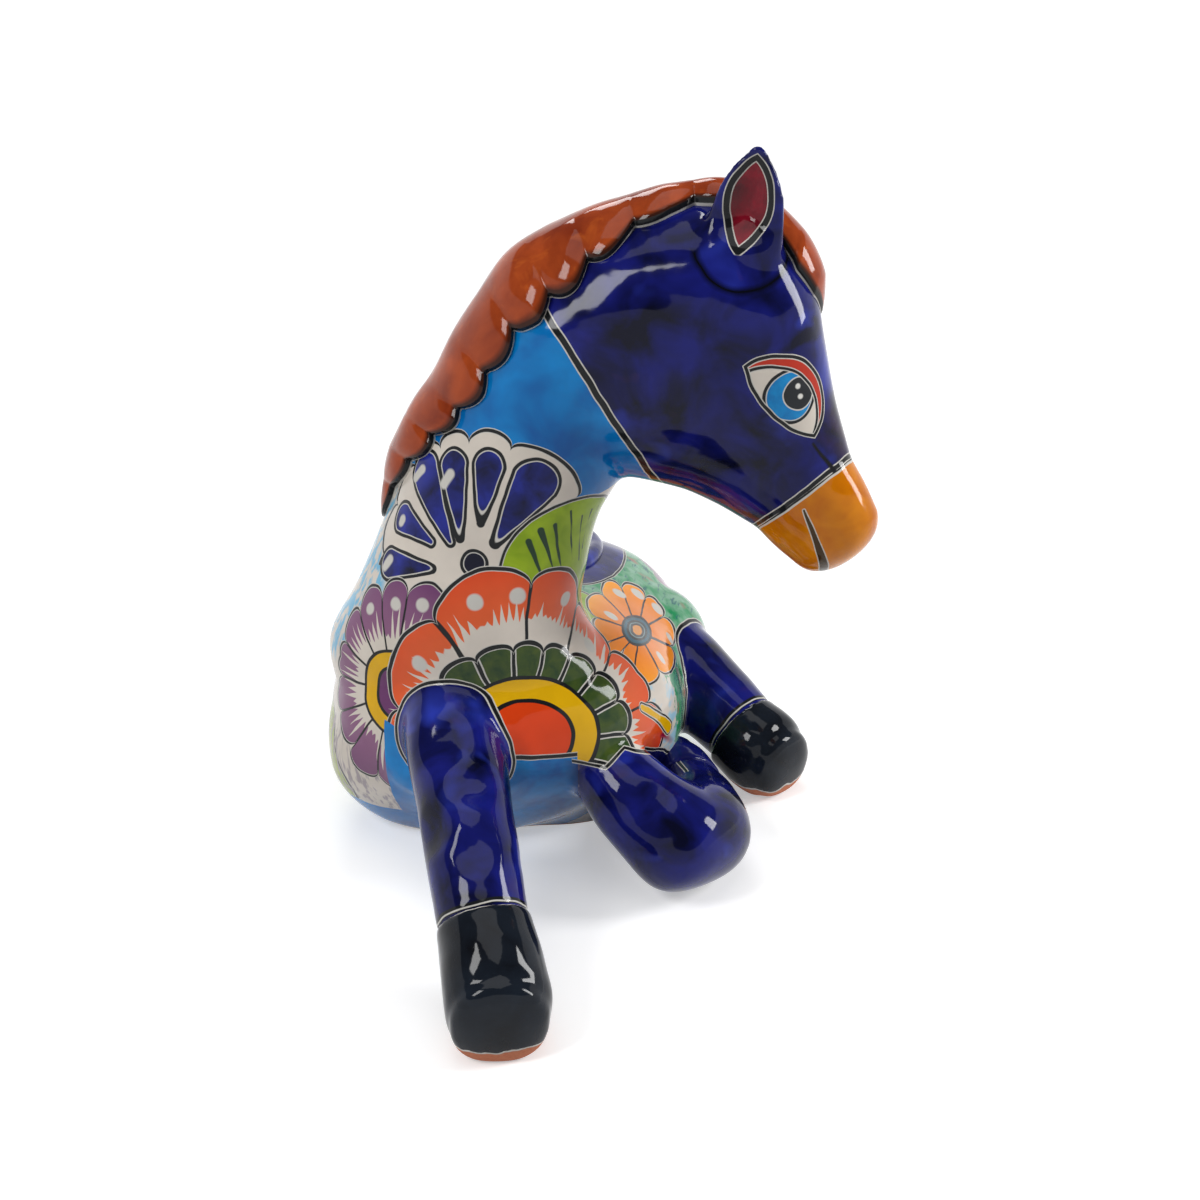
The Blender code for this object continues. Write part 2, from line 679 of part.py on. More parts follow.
def main():
    """Builds the planter's pieces in order."""
    for old in list(bpy.data.objects):
        bpy.data.objects.remove(old)
    parts = new_collection("ceramic_horse_planter")
    cutters = new_collection("cutters")
    barrel_seat = barrel_form("barrel_seat", SEAT_GAP, cutters, cutters)
    floor_box = box(
        "below_table", (-TABLE_HALF, -TABLE_HALF, -TABLE_DEPTH), (TABLE_HALF, TABLE_HALF, 0.0), cutters
    )

    neck_seat = neck_seat_form(cutters)
    make_pot(parts, cutters, floor_box)
    make_neck_and_head(parts, cutters, barrel_seat, neck_seat)
    limbs = (
        ("foreleg_right", FORELEG_RIGHT, "fore_hoof_right", FORE_HOOF_RIGHT),
        ("foreleg_left", FORELEG_LEFT, "fore_hoof_left", FORE_HOOF_LEFT),
        ("hind_leg_left", HIND_LEG_LEFT, "hind_hoof_left", HIND_HOOF_LEFT),
        ("hind_leg_right", HIND_LEG_RIGHT, "hind_hoof_right", HIND_HOOF_RIGHT),
    )
    for limb in limbs:
        make_limb(parts, (barrel_seat, neck_seat, floor_box), *limb)
    rings = smooth_rings(tube_rings(TAIL), 2)
    tail = loft("tail", root_dome(rings) + rings + tip_dome(rings), parts, LEG_RING_COUNT)
    boolean(tail, barrel_seat)
    finish(tail, RUSSET)

    for cutter in cutters.objects:
        cutter.hide_render = True
        cutter.display_type = "WIRE"
    stand = bpy.data.objects.new("planter_stand_point", None)
    parts.objects.link(stand)
    for made in parts.objects:
        if made.type == "MESH":
            made.parent = stand


main()
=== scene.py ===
"""Looks of the ceramic horse planter: a lying horse in painted, glazed earthenware.

The barrel, neck, head and legs of the real piece are luted together while the clay is soft and then
dipped and painted as one, so here they are formed as one clay skin, smoothed as with a wet sponge,
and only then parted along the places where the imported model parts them.
"""

import functools
import logging
import math
from dataclasses import dataclass
from enum import Enum
from typing import ClassVar, Iterable, Sequence

import bmesh
import bpy
import numpy as np
from mathutils import Matrix, Vector, noise


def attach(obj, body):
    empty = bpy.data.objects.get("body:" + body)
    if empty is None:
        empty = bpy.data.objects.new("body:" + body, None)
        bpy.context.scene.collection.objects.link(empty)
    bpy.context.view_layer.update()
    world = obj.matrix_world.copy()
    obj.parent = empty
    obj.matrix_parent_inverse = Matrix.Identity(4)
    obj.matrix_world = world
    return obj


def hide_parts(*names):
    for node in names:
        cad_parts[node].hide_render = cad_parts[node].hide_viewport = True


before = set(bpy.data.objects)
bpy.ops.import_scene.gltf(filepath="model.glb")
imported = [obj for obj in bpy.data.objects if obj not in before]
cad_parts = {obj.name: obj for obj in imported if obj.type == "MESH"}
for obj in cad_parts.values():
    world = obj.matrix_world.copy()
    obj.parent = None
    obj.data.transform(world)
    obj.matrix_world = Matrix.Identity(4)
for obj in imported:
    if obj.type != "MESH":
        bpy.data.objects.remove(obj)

log = logging.getLogger("horse_planter")

MM = 0.001
ROOT = "root"

MIX = "ShaderNodeMixRGB"
NOISE = "ShaderNodeTexNoise"
MAPPING = "ShaderNodeMapping"

Clay = bmesh.types.BMesh
Piece = bpy.types.Object
Finish = bpy.types.Material
Socket = bpy.types.NodeSocket
Point = tuple[float, float, float]
Spot = tuple[Point, float]
Stroke = tuple[Point, float, Point, float]
Value = float | tuple | Socket
Limits = tuple[float | None, float | None, float | None]
Block = tuple[Limits, Limits]

OPEN: Limits = (None, None, None)

# Least share of its size that a section keeps, and how far round a rounded end is drawn, in degrees
LEAST_SHARE = 0.05
DOME_TURN = 86.0


class Slot(Enum):
    """Material slots that the finishes stand for."""

    MAJOLICA = "painted_majolica"
    COBALT = "cobalt_glaze"
    AMBER = "amber_glaze"
    RUSSET = "russet_glaze"
    BLACK = "black_glaze"


@dataclass(frozen=True)
class Section:
    """One cross-section of a form: its middle, its half axes, and the axis of its lower half."""

    middle: Vector
    across: Vector
    side: Vector
    low: Vector

    def grown(self, extra: float) -> "Section":
        """The section with its outline moved outwards, in metres."""
        axes = [axis * max(LEAST_SHARE, 1 + extra / axis.length)
                for axis in (self.across, self.side, self.low)]
        return Section(self.middle, *axes)

    def scaled(self, share: float, shift: Vector) -> "Section":
        """The section moved by a shift, with all of its axes times a share."""
        return Section(self.middle + shift, self.across * share, self.side * share, self.low * share)

    def point(self, angle: float, extra: float = 0.0) -> Vector:
        """A point of the outline.

        Args:
            angle: Turn from the across axis, in radians.
            extra: Distance outside the outline, in metres.

        Returns:
            The point.
        """
        half = self.side if math.sin(angle) > 0 else self.low
        wide = self.across * (1 + extra / self.across.length)
        deep = half * (1 + extra / half.length)
        return self.middle + wide * math.cos(angle) + deep * math.sin(angle)

    def way(self, toward: Vector) -> Vector:
        """Unit vector square to the section, on the side that another one points to."""
        out = self.across.cross(self.side).normalized()
        return out if out.dot(toward) > 0 else -out

    def row(self, count: int) -> list[Vector]:
        """The outline as a row of points."""
        return [self.point(2 * math.pi * k / count) for k in range(count)]


def section_at(sections: Sequence[Section], station: float) -> Section:
    """The section at a station on the smooth curve through the given ones.

    Args:
        sections: The given sections, at stations 0, 1, 2 and so on.
        station: Where to cut.

    Returns:
        The section there.
    """
    last = len(sections) - 1
    index = min(int(station), last - 1)
    near = [sections[min(max(index + k, 0), last)] for k in (-1, 0, 1, 2)]
    t = station - index
    axes = []
    for name in ("middle", "across", "side", "low"):
        a, b, c, d = (getattr(section, name) for section in near)
        cubic = (3 * b - a - 3 * c + d) * t**3
        axes.append(0.5 * (2 * b + (c - a) * t + (2 * a - 5 * b + 4 * c - d) * t * t + cubic))
    return Section(*axes)


def refined(sections: Sequence[Section], steps: int) -> list[Section]:
    """The sections with steps - 1 more between each pair."""
    return [section_at(sections, k / steps) for k in range((len(sections) - 1) * steps + 1)]


def rounded_end(section: Section, way: Vector, height: float, steps: int = 8) -> list[Section]:
    """Sections that round over the end of a form, along way and up to a height in metres."""
    turns = [math.radians(DOME_TURN) * k / steps for k in range(1, steps + 1)]
    return [section.scaled(math.cos(turn), way * height * math.sin(turn)) for turn in turns]


def value_at(table: Sequence[tuple[float, float]], place: float) -> float:
    """A value read straight between the pairs of a table."""
    places, values = zip(*table)
    return float(np.interp(place, places, values))


def add_loft(clay: Clay, rows: Sequence[Sequence[Vector]]) -> list[list[bmesh.types.BMVert]]:
    """Adds a closed form through rows of points.

    Args:
        clay: The clay that it is added to.
        rows: The rows, all of one length.

    Returns:
        Its points, row by row.
    """
    made = [[clay.verts.new(point) for point in row] for row in rows]
    count = len(made[0])
    for low, high in zip(made, made[1:]):
        for k in range(count):
            clay.faces.new((low[k], low[(k + 1) % count], high[(k + 1) % count], high[k]))
    clay.faces.new(made[0])
    clay.faces.new(made[-1])
    return made


def placed(name: str, data: bpy.types.ID) -> Piece:
    """Adds an object of the data to the scene.

    Args:
        name: The object's name.
        data: Its mesh, lamp or camera.

    Returns:
        The object.
    """
    made = bpy.data.objects.new(name, data)
    bpy.context.scene.collection.objects.link(made)
    return made


def mesh_object(name: str, clay: Clay) -> Piece:
    """Makes an object of the clay, with its faces outwards.

    Args:
        name: The object's name.
        clay: The clay; it is freed.

    Returns:
        The object.
    """
    bmesh.ops.recalc_face_normals(clay, faces=clay.faces)
    mesh = bpy.data.meshes.new(name)
    clay.to_mesh(mesh)
    clay.free()
    return placed(name, mesh)


def settle(target: Piece) -> None:
    """Applies an object's modifiers to its mesh.

    Args:
        target: The object.
    """
    graph = bpy.context.evaluated_depsgraph_get()
    mesh = bpy.data.meshes.new_from_object(target.evaluated_get(graph))
    target.modifiers.clear()
    target.data = mesh


def sponged(clay: Clay, voxel: float, rounds: int) -> Clay:
    """Melts the forms in the clay into one skin and smooths it, as with a wet sponge.

    Args:
        clay: The forms; it is freed.
        voxel: Size of the new mesh's squares in millimetres.
        rounds: How often it is smoothed.

    Returns:
        The skin.
    """
    rough = mesh_object("rough_skin", clay)
    remesh = rough.modifiers.new("luted", "REMESH")
    remesh.mode = "VOXEL"
    remesh.voxel_size = voxel * MM
    settle(rough)
    skin = bmesh.new()
    skin.from_mesh(rough.data)
    bpy.data.objects.remove(rough)
    for _ in range(rounds):
        bmesh.ops.smooth_vert(skin, verts=skin.verts, factor=0.5, use_axis_x=True, use_axis_y=True,
                              use_axis_z=True)
    return skin


def hand_over(piece: Piece, slot: Slot, nodes: Iterable[str]) -> None:
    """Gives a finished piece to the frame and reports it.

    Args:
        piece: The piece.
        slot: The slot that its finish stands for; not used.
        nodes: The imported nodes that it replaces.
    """
    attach(piece, ROOT)
    for node in nodes:
        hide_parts(node)
    piece.data.calc_loop_triangles()
    log.info("%s: %d triangles, replaces %s", piece.name, len(piece.data.loop_triangles), list(nodes))


# Glaze and clay colours as they look, in sRGB
INK = "#1a1c1e"
HALO = "#c9c6bf"
CREAM = "#d3cabf"
COBALT = "#161b70"
COBALT_DEEP = "#050722"
COBALT_PALE = "#2c3cae"
SKY = "#0784cc"
SKY_DEEP = "#03549c"
SKY_PALE = "#6fb2d4"
ORANGE_RED = "#d84012"
ORANGE_PALE = "#e36a38"
PURPLE = "#683566"
PURPLE_PALE = "#8c5f80"
BOTTLE_GREEN = "#1e3b24"
OLIVE = "#4b5b22"
YELLOW = "#dba90a"
LIME_PALE = "#a9b75c"
OLIVE_PALE = "#8d9e46"
LEAF_GREEN = "#2f8f5c"
PALE_GREEN = "#7fae93"
PINK_CLOUD = "#a5605f"
ORANGE_YELLOW = "#ffa802"
AMBER = "#d98604"
AMBER_DEEP = "#b66002"
TEAL = "#1f5468"
RUSSET = "#b04c20"
RUSSET_DEEP = "#7a2a12"
RUSSET_WARM = "#c25e22"
# Painted shade along the edge of the hair
RUSSET_EDGE_SHADE = "#3a1a10"
CRIMSON = "#8d0f26"
CRIMSON_DEEP = "#4a0a18"
LID_RED = "#b5301d"
HOOF = "#0b0d13"
HOOF_PALE = "#1d2530"
BARE_CLAY = "#b5654a"
BARE_CLAY_PALE = "#c98563"
BISQUE_DEEP = "#9c5139"
BISQUE_PALE = "#bd7052"
STREAK_GREY = "#a2979b"
FAN_BLUE = "#1f2a8e"
IRON_BLUSH = "#3d1f42"
# Painted shade for the creases round the ears' roots and under the eyes
PAINTED_CREASE_SHADE = "#04050d"
MOUTH_BROWN = "#3f2c12"
IRIS = "#0d8fd0"
IRIS_DEEP = "#0668ac"
PUPIL = "#26282c"
# Painted highlight: the white glints in the pupils
PAINTED_EYE_GLINT = "#dedcd6"
LEAF = "#9ab61c"
LEAF_DEEP = "#7d9c08"
SKY_WASH = "#9cc4d8"
ORANGE_DEEP = "#e67c04"
ORANGE_PETAL = "#dd8209"
OCHRE = "#d9870f"
TEAL_PALE = "#7a9aa0"

# The glaze's specular level: lower than plain glass, as in the photograph's soft highlights.
GLAZE_SHEEN = 0.19


def linear(code: str) -> tuple[float, float, float, float]:
    """Turns an sRGB hex colour into a linear one with full alpha."""
    parts = [int(code[k : k + 2], 16) / 255 for k in (1, 3, 5)]
    return (*[p / 12.92 if p <= 0.04045 else ((p + 0.055) / 1.055) ** 2.4 for p in parts], 1.0)


@dataclass(frozen=True)
class View:
    """Where the photograph was taken from: angles in degrees, distance and aim in metres."""

    azimuth: float = 12.0
    elevation: float = 28.0
    distance: float = 0.72
    aim: Point = (0.0320, 0.0, 0.0880)
    lens: float = 50.0
    sensor: float = 36.0

    def back(self) -> Vector:
        """Unit vector from the object to the camera."""
        turn, lift = math.radians(self.azimuth), math.radians(self.elevation)
        return Vector((math.sin(turn) * math.cos(lift), -math.cos(turn) * math.cos(lift), math.sin(lift)))

    def up(self) -> Vector:
        """Unit vector that is upwards in the picture."""
        back = self.back()
        return (Vector((0, 0, 1)) - back * back.z).normalized()


VIEW = View()


MATH = "ShaderNodeMath"
VECTOR = "ShaderNodeVectorMath"


class Sum(Enum):
    """What a Math or Vector Math node works out: its type, its operation and its output."""

    MINUS = (MATH, "SUBTRACT", 0)
    TIMES = (MATH, "MULTIPLY", 0)
    TIMES_PLUS = (MATH, "MULTIPLY_ADD", 0)
    MOST = (MATH, "MAXIMUM", 0)
    LEAST = (MATH, "MINIMUM", 0)
    UNSIGNED = (MATH, "ABSOLUTE", 0)
    POWER = (MATH, "POWER", 0)
    FRACTION = (MATH, "FRACT", 0)
    FLOOR = (MATH, "FLOOR", 0)
    ANGLE = (MATH, "ARCTAN2", 0)
    PINGPONG = (MATH, "PINGPONG", 0)
    COSINE = (MATH, "COSINE", 0)
    SHIFT = (VECTOR, "ADD", 0)
    OFFSET = (VECTOR, "SUBTRACT", 0)
    STRETCH = (VECTOR, "MULTIPLY", 0)
    SCALE = (VECTOR, "SCALE", 0)
    ALONG = (VECTOR, "DOT_PRODUCT", "Value")
    LENGTH = (VECTOR, "LENGTH", "Value")
    DISTANCE = (VECTOR, "DISTANCE", "Value")


class Graph:
    """A node tree, and the one function that adds a node to it."""

    def __init__(self, tree: bpy.types.NodeTree) -> None:
        """Takes the tree that is built on."""
        self.tree = tree

    def add(self, kind: str | Sum, *values: Value | None, out: int | str = 0,
            **settings: object) -> Socket | None:
        """Adds a node.

        Args:
            kind: The node's type name, or what it works out.
            values: Links or constants for its sockets in order; None leaves one as it is.
            out: The output to return.
            settings: Properties to set on the node.

        Returns:
            The output socket, if it has one.
        """
        if isinstance(kind, Sum):
            kind, settings["operation"], out = kind.value
        made = self.tree.nodes.new(kind)
        for name, value in settings.items():
            setattr(made, name, value)
        for socket, value in zip(made.inputs, values):
            if isinstance(value, Socket):
                self.tree.links.new(value, socket)
            elif value is not None:
                socket.default_value = value
        return made.outputs[out] if made.outputs else None


@dataclass(frozen=True)
class Sheet:
    """A flat sheet on which something is drawn; its middle in millimetres, its face and its top."""

    centre: Point
    face: Vector
    up: Vector

    def axes(self) -> tuple[Vector, Vector, Vector]:
        """Unit vectors to its right, to its top and out of its face."""
        face = self.face.normalized()
        up = (self.up - face * self.up.dot(face)).normalized()
        return up.cross(face), up, face

    def place(self, point: Point) -> Point:
        """Where a point falls on the sheet when it is seen along its face.

        Args:
            point: The point in millimetres.

        Returns:
            Its place to the right and upwards on the sheet.
        """
        right, up, _ = self.axes()
        off = Vector(point) - Vector(self.centre)
        return (off.dot(right), off.dot(up), 0.0)


class Brush(Graph):
    """Builds one finish, coat over coat; all lengths in its nodes are millimetres.

    Attributes:
        place: Object coordinates in millimetres.
        drawn: The same, with the slight tremor of a hand-held brush.
        axes: The x, y and z of drawn.
        colour: What is painted so far.
    """

    def __init__(self, name: str, ground: str, tremor: float = 0.5) -> None:
        """Starts a finish.

        Args:
            name: The material's name.
            ground: Colour of the first coat.
            tremor: How far a line strays, in millimetres.
        """
        self.material = bpy.data.materials.new(name)
        self.material.use_nodes = True
        super().__init__(self.material.node_tree)
        self.shader = self.tree.nodes["Principled BSDF"]
        coordinates = self.add("ShaderNodeTexCoord", out="Object")
        self.place = self.add(Sum.STRETCH, coordinates, (1 / MM,) * 3)
        stray = self.add(NOISE, self.place, None, 0.085, 1.0, out="Color", normalize=False)
        sway = self.add(Sum.STRETCH, stray, (tremor,) * 3)
        self.drawn = self.add(Sum.SHIFT, self.place, sway)
        self.axes = list(self.add("ShaderNodeSeparateXYZ", self.drawn).node.outputs)
        self.colour: Value = linear(ground)

    def most(self, *distances: Value) -> Value:
        """The greatest of some distances: inside all of the forms."""
        return functools.reduce(lambda one, other: self.add(Sum.MOST, one, other), distances)

    def least(self, *distances: Value) -> Value:
        """The least of some distances: inside any of the forms."""
        return functools.reduce(lambda one, other: self.add(Sum.LEAST, one, other), distances)

    def facing(self, sheet: Sheet, start: Value | None = None) -> list[Value]:
        """Coordinates on a sheet.

        Args:
            sheet: The sheet.
            start: Coordinates to use in place of the drawn ones.

        Returns:
            The local vector and its x to the right, y upwards and z outwards.
        """
        turn = Matrix(sheet.axes()).transposed().to_euler()
        local = self.add(MAPPING, start or self.drawn, sheet.centre, tuple(turn), vector_type="TEXTURE")
        return [local, *self.add("ShaderNodeSeparateXYZ", local).node.outputs]

    def flat(self, sheet: Sheet, depth: float, start: Value | None = None) -> tuple[Value, Value]:
        """Coordinates pressed flat onto a sheet.

        Args:
            sheet: The sheet.
            depth: How far before and behind it the drawing still shows.
            start: Coordinates to use in place of the drawn ones.

        Returns:
            The flat coordinates, and the distance beyond that depth.
        """
        local, _, _, z = self.facing(sheet, start)
        plane = self.add(Sum.STRETCH, local, (1.0, 1.0, 0.0))
        far = self.add(Sum.MINUS, self.add(Sum.UNSIGNED, z), depth)
        return plane, far

    def folded(self, middle: Point, way: Vector) -> Socket:
        """Drawn coordinates folded over a plane, so that both sides of it are painted alike.

        Args:
            middle: A point of the plane, in millimetres.
            way: Unit vector towards the side that is drawn.

        Returns:
            The folded coordinates.
        """
        off = self.add(Sum.OFFSET, self.drawn, middle)
        height = self.add(Sum.ALONG, off, tuple(way))
        rise = self.add(Sum.MINUS, self.add(Sum.UNSIGNED, height), height)
        step = self.add(Sum.SCALE, tuple(way), None, None, rise)
        return self.add(Sum.SHIFT, self.drawn, step)

    def beyond(self, middle: Point, way: Vector, start: Value | None = None) -> Socket:
        """Height over a plane through a point, towards way, in millimetres."""
        off = self.add(Sum.OFFSET, start or self.drawn, middle)
        return self.add(Sum.ALONG, off, tuple(way))

    def spot(self, centre: Point, size: float, start: Value | None = None) -> Socket:
        """Distance outside a round spot of a radius, in millimetres."""
        far = self.add(Sum.DISTANCE, start or self.drawn, centre)
        return self.add(Sum.MINUS, far, size)

    def drop(self, root: Point, narrow: float, tip: Point, wide: float,
             start: Value | None = None) -> Socket:
        """Distance outside a brush stroke that swells or thins on its way.

        Args:
            root: Where the brush is set down, in millimetres.
            narrow: Half of the stroke's width there.
            tip: Where it is lifted.
            wide: Half of the stroke's width there.
            start: Coordinates to use in place of the drawn ones.

        Returns:
            The distance in millimetres, negative inside.
        """
        run = Vector(tip) - Vector(root)
        off = self.add(Sum.OFFSET, start or self.drawn, root)
        part = self.add(Sum.ALONG, off, tuple(run / run.length_squared))
        part = self.add(Sum.TIMES, part, 1.0, use_clamp=True)
        reached = self.add(Sum.SCALE, tuple(run), None, None, part)
        far = self.add(Sum.DISTANCE, off, reached)
        size = self.add(Sum.TIMES_PLUS, part, wide - narrow, narrow)
        return self.add(Sum.MINUS, far, size)

    def inside(self, distance: Value, edge: float = 0.0, soft: float = 0.18) -> Socket:
        """1 where the distance is under the edge and 0 beyond it, over a soft border in millimetres."""
        return self.add(Sum.TIMES_PLUS, distance, -1 / soft, edge / soft + 0.5, use_clamp=True)

    def lay(self, colour: Value | str, mask: Value) -> None:
        """Lays a coat over what is painted so far, where the mask is 1."""
        coat = linear(colour) if isinstance(colour, str) else colour
        self.colour = self.add(MIX, mask, self.colour, coat)

    def fill(self, colour: Value | str, distance: Value, edge: float = 0.0, soft: float = 0.18) -> None:
        """Lays a coat where the distance is under the edge, over a soft border in millimetres."""
        self.lay(colour, self.inside(distance, edge, soft))

    def stroke(self, distance: Value, width: float, colour: str = INK, at: float = 0.0,
               within: Value | None = None) -> None:
        """Draws a line where the distance is at, where within is negative.

        Args:
            distance: The distance that the line follows.
            width: The line's width in millimetres.
            colour: The line's colour.
            at: The distance at which it runs.
            within: A distance that limits it.
        """
        off = self.add(Sum.UNSIGNED, self.add(Sum.MINUS, distance, at))
        off = self.add(Sum.MINUS, off, width / 2)
        if within is not None:
            off = self.most(off, within)
        self.lay(colour, self.inside(off))

    def outline(self, distance: Value, width: float = 1.3, within: Value | None = None,
                halo: float = 0.7, at: float = 0.0) -> None:
        """Draws the raised dark line round a form, and the pale glaze that draws back from it."""
        self.stroke(distance, width + halo, HALO, at, within)
        self.stroke(distance, width, INK, at, within)

    def clouds(self, pitch: float, steep: float, least: float, detail: float = 2.0,
               swirl: float = 0.0) -> Socket:
        """A mask of soft patches of a size in millimetres, with least cut away between them."""
        cloud = self.add(NOISE, self.place, None, 1 / pitch, detail, None, None, None, None, swirl)
        return self.add(Sum.TIMES_PLUS, cloud, steep, -least, use_clamp=True)

    def block(self, low: Limits, high: Limits) -> Value:
        """Distance outside a block that is bounded on some sides only.

        Args:
            low: Its least x, y and z in millimetres, None where it is open.
            high: Its greatest x, y and z.

        Returns:
            The distance, negative inside.
        """
        pairs = [(limit, axis) for axis, limit in zip(self.axes, low) if limit is not None]
        pairs += [(axis, limit) for axis, limit in zip(self.axes, high) if limit is not None]
        return self.most(*[self.add(Sum.MINUS, *pair) for pair in pairs])

    def mottled(self, deep: str, pale: str, pitch: float, contrast: float = 1.0) -> Socket:
        """A glaze that pools and thins.

        Args:
            deep: Colour of the pools.
            pale: Colour where it is thin.
            pitch: Size of the pools in millimetres.
            contrast: How sharply they change.

        Returns:
            The colour.
        """
        steep = 2.6 * contrast
        part = self.clouds(pitch, steep, steep / 2 - 0.5, 3.0, 0.5)
        return self.add(MIX, part, linear(deep), linear(pale))

    def streaked(self, way: Point, pitch: float, cover: float) -> Socket:
        """Ragged strokes of a dry brush.

        Args:
            way: How much finer the strokes are along x, y and z.
            pitch: Width of a stroke in millimetres.
            cover: Share of the ground that they leave free.

        Returns:
            A mask.
        """
        stretched = self.add(Sum.STRETCH, self.place, tuple(part / pitch for part in way))
        hair = self.add(NOISE, stretched, None, 1.0, 2.0)
        return self.add(Sum.TIMES_PLUS, hair, 9.0, -9.0 * cover, use_clamp=True)

    def fire(self, roughness: float = 0.07, ripple: float = 0.22, shade: float = 0.14,
             bare: Value | None = None) -> Finish:
        """Finishes the glaze: uneven thickness in the colour and ripples in the glossy surface.

        Args:
            roughness: The glaze's roughness.
            ripple: Height of the ripples in millimetres.
            shade: How much the colour varies.
            bare: Mask of places where the clay is left unglazed.

        Returns:
            The finished material.
        """
        wash = self.add(NOISE, self.place, None, 1 / 14.0, 3.0)
        value = self.add(Sum.TIMES_PLUS, wash, shade * 2, 1 - shade)
        self.colour = self.add(Sum.SCALE, self.colour, None, None, value)
        self.shader.inputs["Roughness"].default_value = roughness
        if bare is not None:
            grit = self.add(NOISE, self.place, None, 0.9, 3.0)
            self.lay(self.add(MIX, grit, linear(BARE_CLAY), linear(BARE_CLAY_PALE)), bare)
            rough = self.add(Sum.TIMES_PLUS, bare, 0.7 - roughness, roughness)
            self.tree.links.new(rough, self.shader.inputs["Roughness"])
        self.tree.links.new(self.colour, self.shader.inputs["Base Color"])
        swell = self.add(NOISE, self.place, None, 1 / 10.0, 1.0)
        bump = self.add("ShaderNodeBump", 1.0, ripple * MM, None, swell)
        self.tree.links.new(bump, self.shader.inputs["Normal"])
        self.shader.inputs["IOR"].default_value = 1.5
        self.shader.inputs["Specular IOR Level"].default_value = GLAZE_SHEEN
        return self.material


@dataclass(frozen=True)
class Petals:
    """A ring of petals: the angles between them in degrees, the radius at their tips and between them."""

    cuts: tuple[float, ...]
    tips: tuple[float, ...]
    notch: float = 0.87

    @classmethod
    def even(cls, count: int, first: float, tip: float, notch: float = 0.87) -> "Petals":
        """A full ring of equal petals."""
        return cls(tuple(first + 360 * k / count for k in range(count + 1)), (tip,) * count, notch)

    def edge(self, brush: Brush, radius: Value, angle: Value) -> tuple[Value, Value]:
        """The ring's edge.

        Args:
            brush: The finish that it is drawn in.
            radius: Distance from the ring's middle.
            angle: Turn about it, in radians.

        Returns:
            The distance outside the edge, and the distance from the line between two petals.
        """
        add = brush.add
        count, start = len(self.tips), self.cuts[0]
        turn = add(Sum.TIMES_PLUS, angle, 1 / (2 * math.pi), -start / 360)
        turn = add(Sum.FRACTION, turn)
        spans = [(cut - start) / 360 for cut in self.cuts]
        middles = [(low + high) / 2 for low, high in zip(spans, spans[1:])]
        curves = []
        for rows in (zip(spans, [k / count for k in range(count + 1)]),
                     zip(middles, [tip / 100 for tip in self.tips])):
            drawn = add("ShaderNodeFloatCurve", None, turn)
            rows = list(rows)
            points = drawn.node.mapping.curves[0].points
            for point, row in zip(points, (rows[0], rows[-1])):
                point.location = row
            for row in rows[1:-1]:
                points.new(*row)
            for point in points:
                point.handle_type = "VECTOR"
            drawn.node.mapping.update()
            curves.append(drawn)
        phase = add(Sum.FRACTION, add(Sum.TIMES, curves[0], float(count)))
        part = add(Sum.UNSIGNED, add(Sum.MINUS, phase, 0.5))
        arc = add(Sum.TIMES_PLUS, add(Sum.TIMES, part, part), -4.0, 1.0)
        arc = add(Sum.POWER, arc, 0.5)
        share = add(Sum.TIMES_PLUS, arc, 100 * (1 - self.notch), 100 * self.notch)
        reach = add(Sum.TIMES, curves[1], share)
        seam = add(Sum.TIMES, add(Sum.MINUS, 0.5, part), radius)
        width = (self.cuts[-1] - start) / count
        return add(Sum.MINUS, radius, reach), add(Sum.TIMES, seam, math.radians(width))


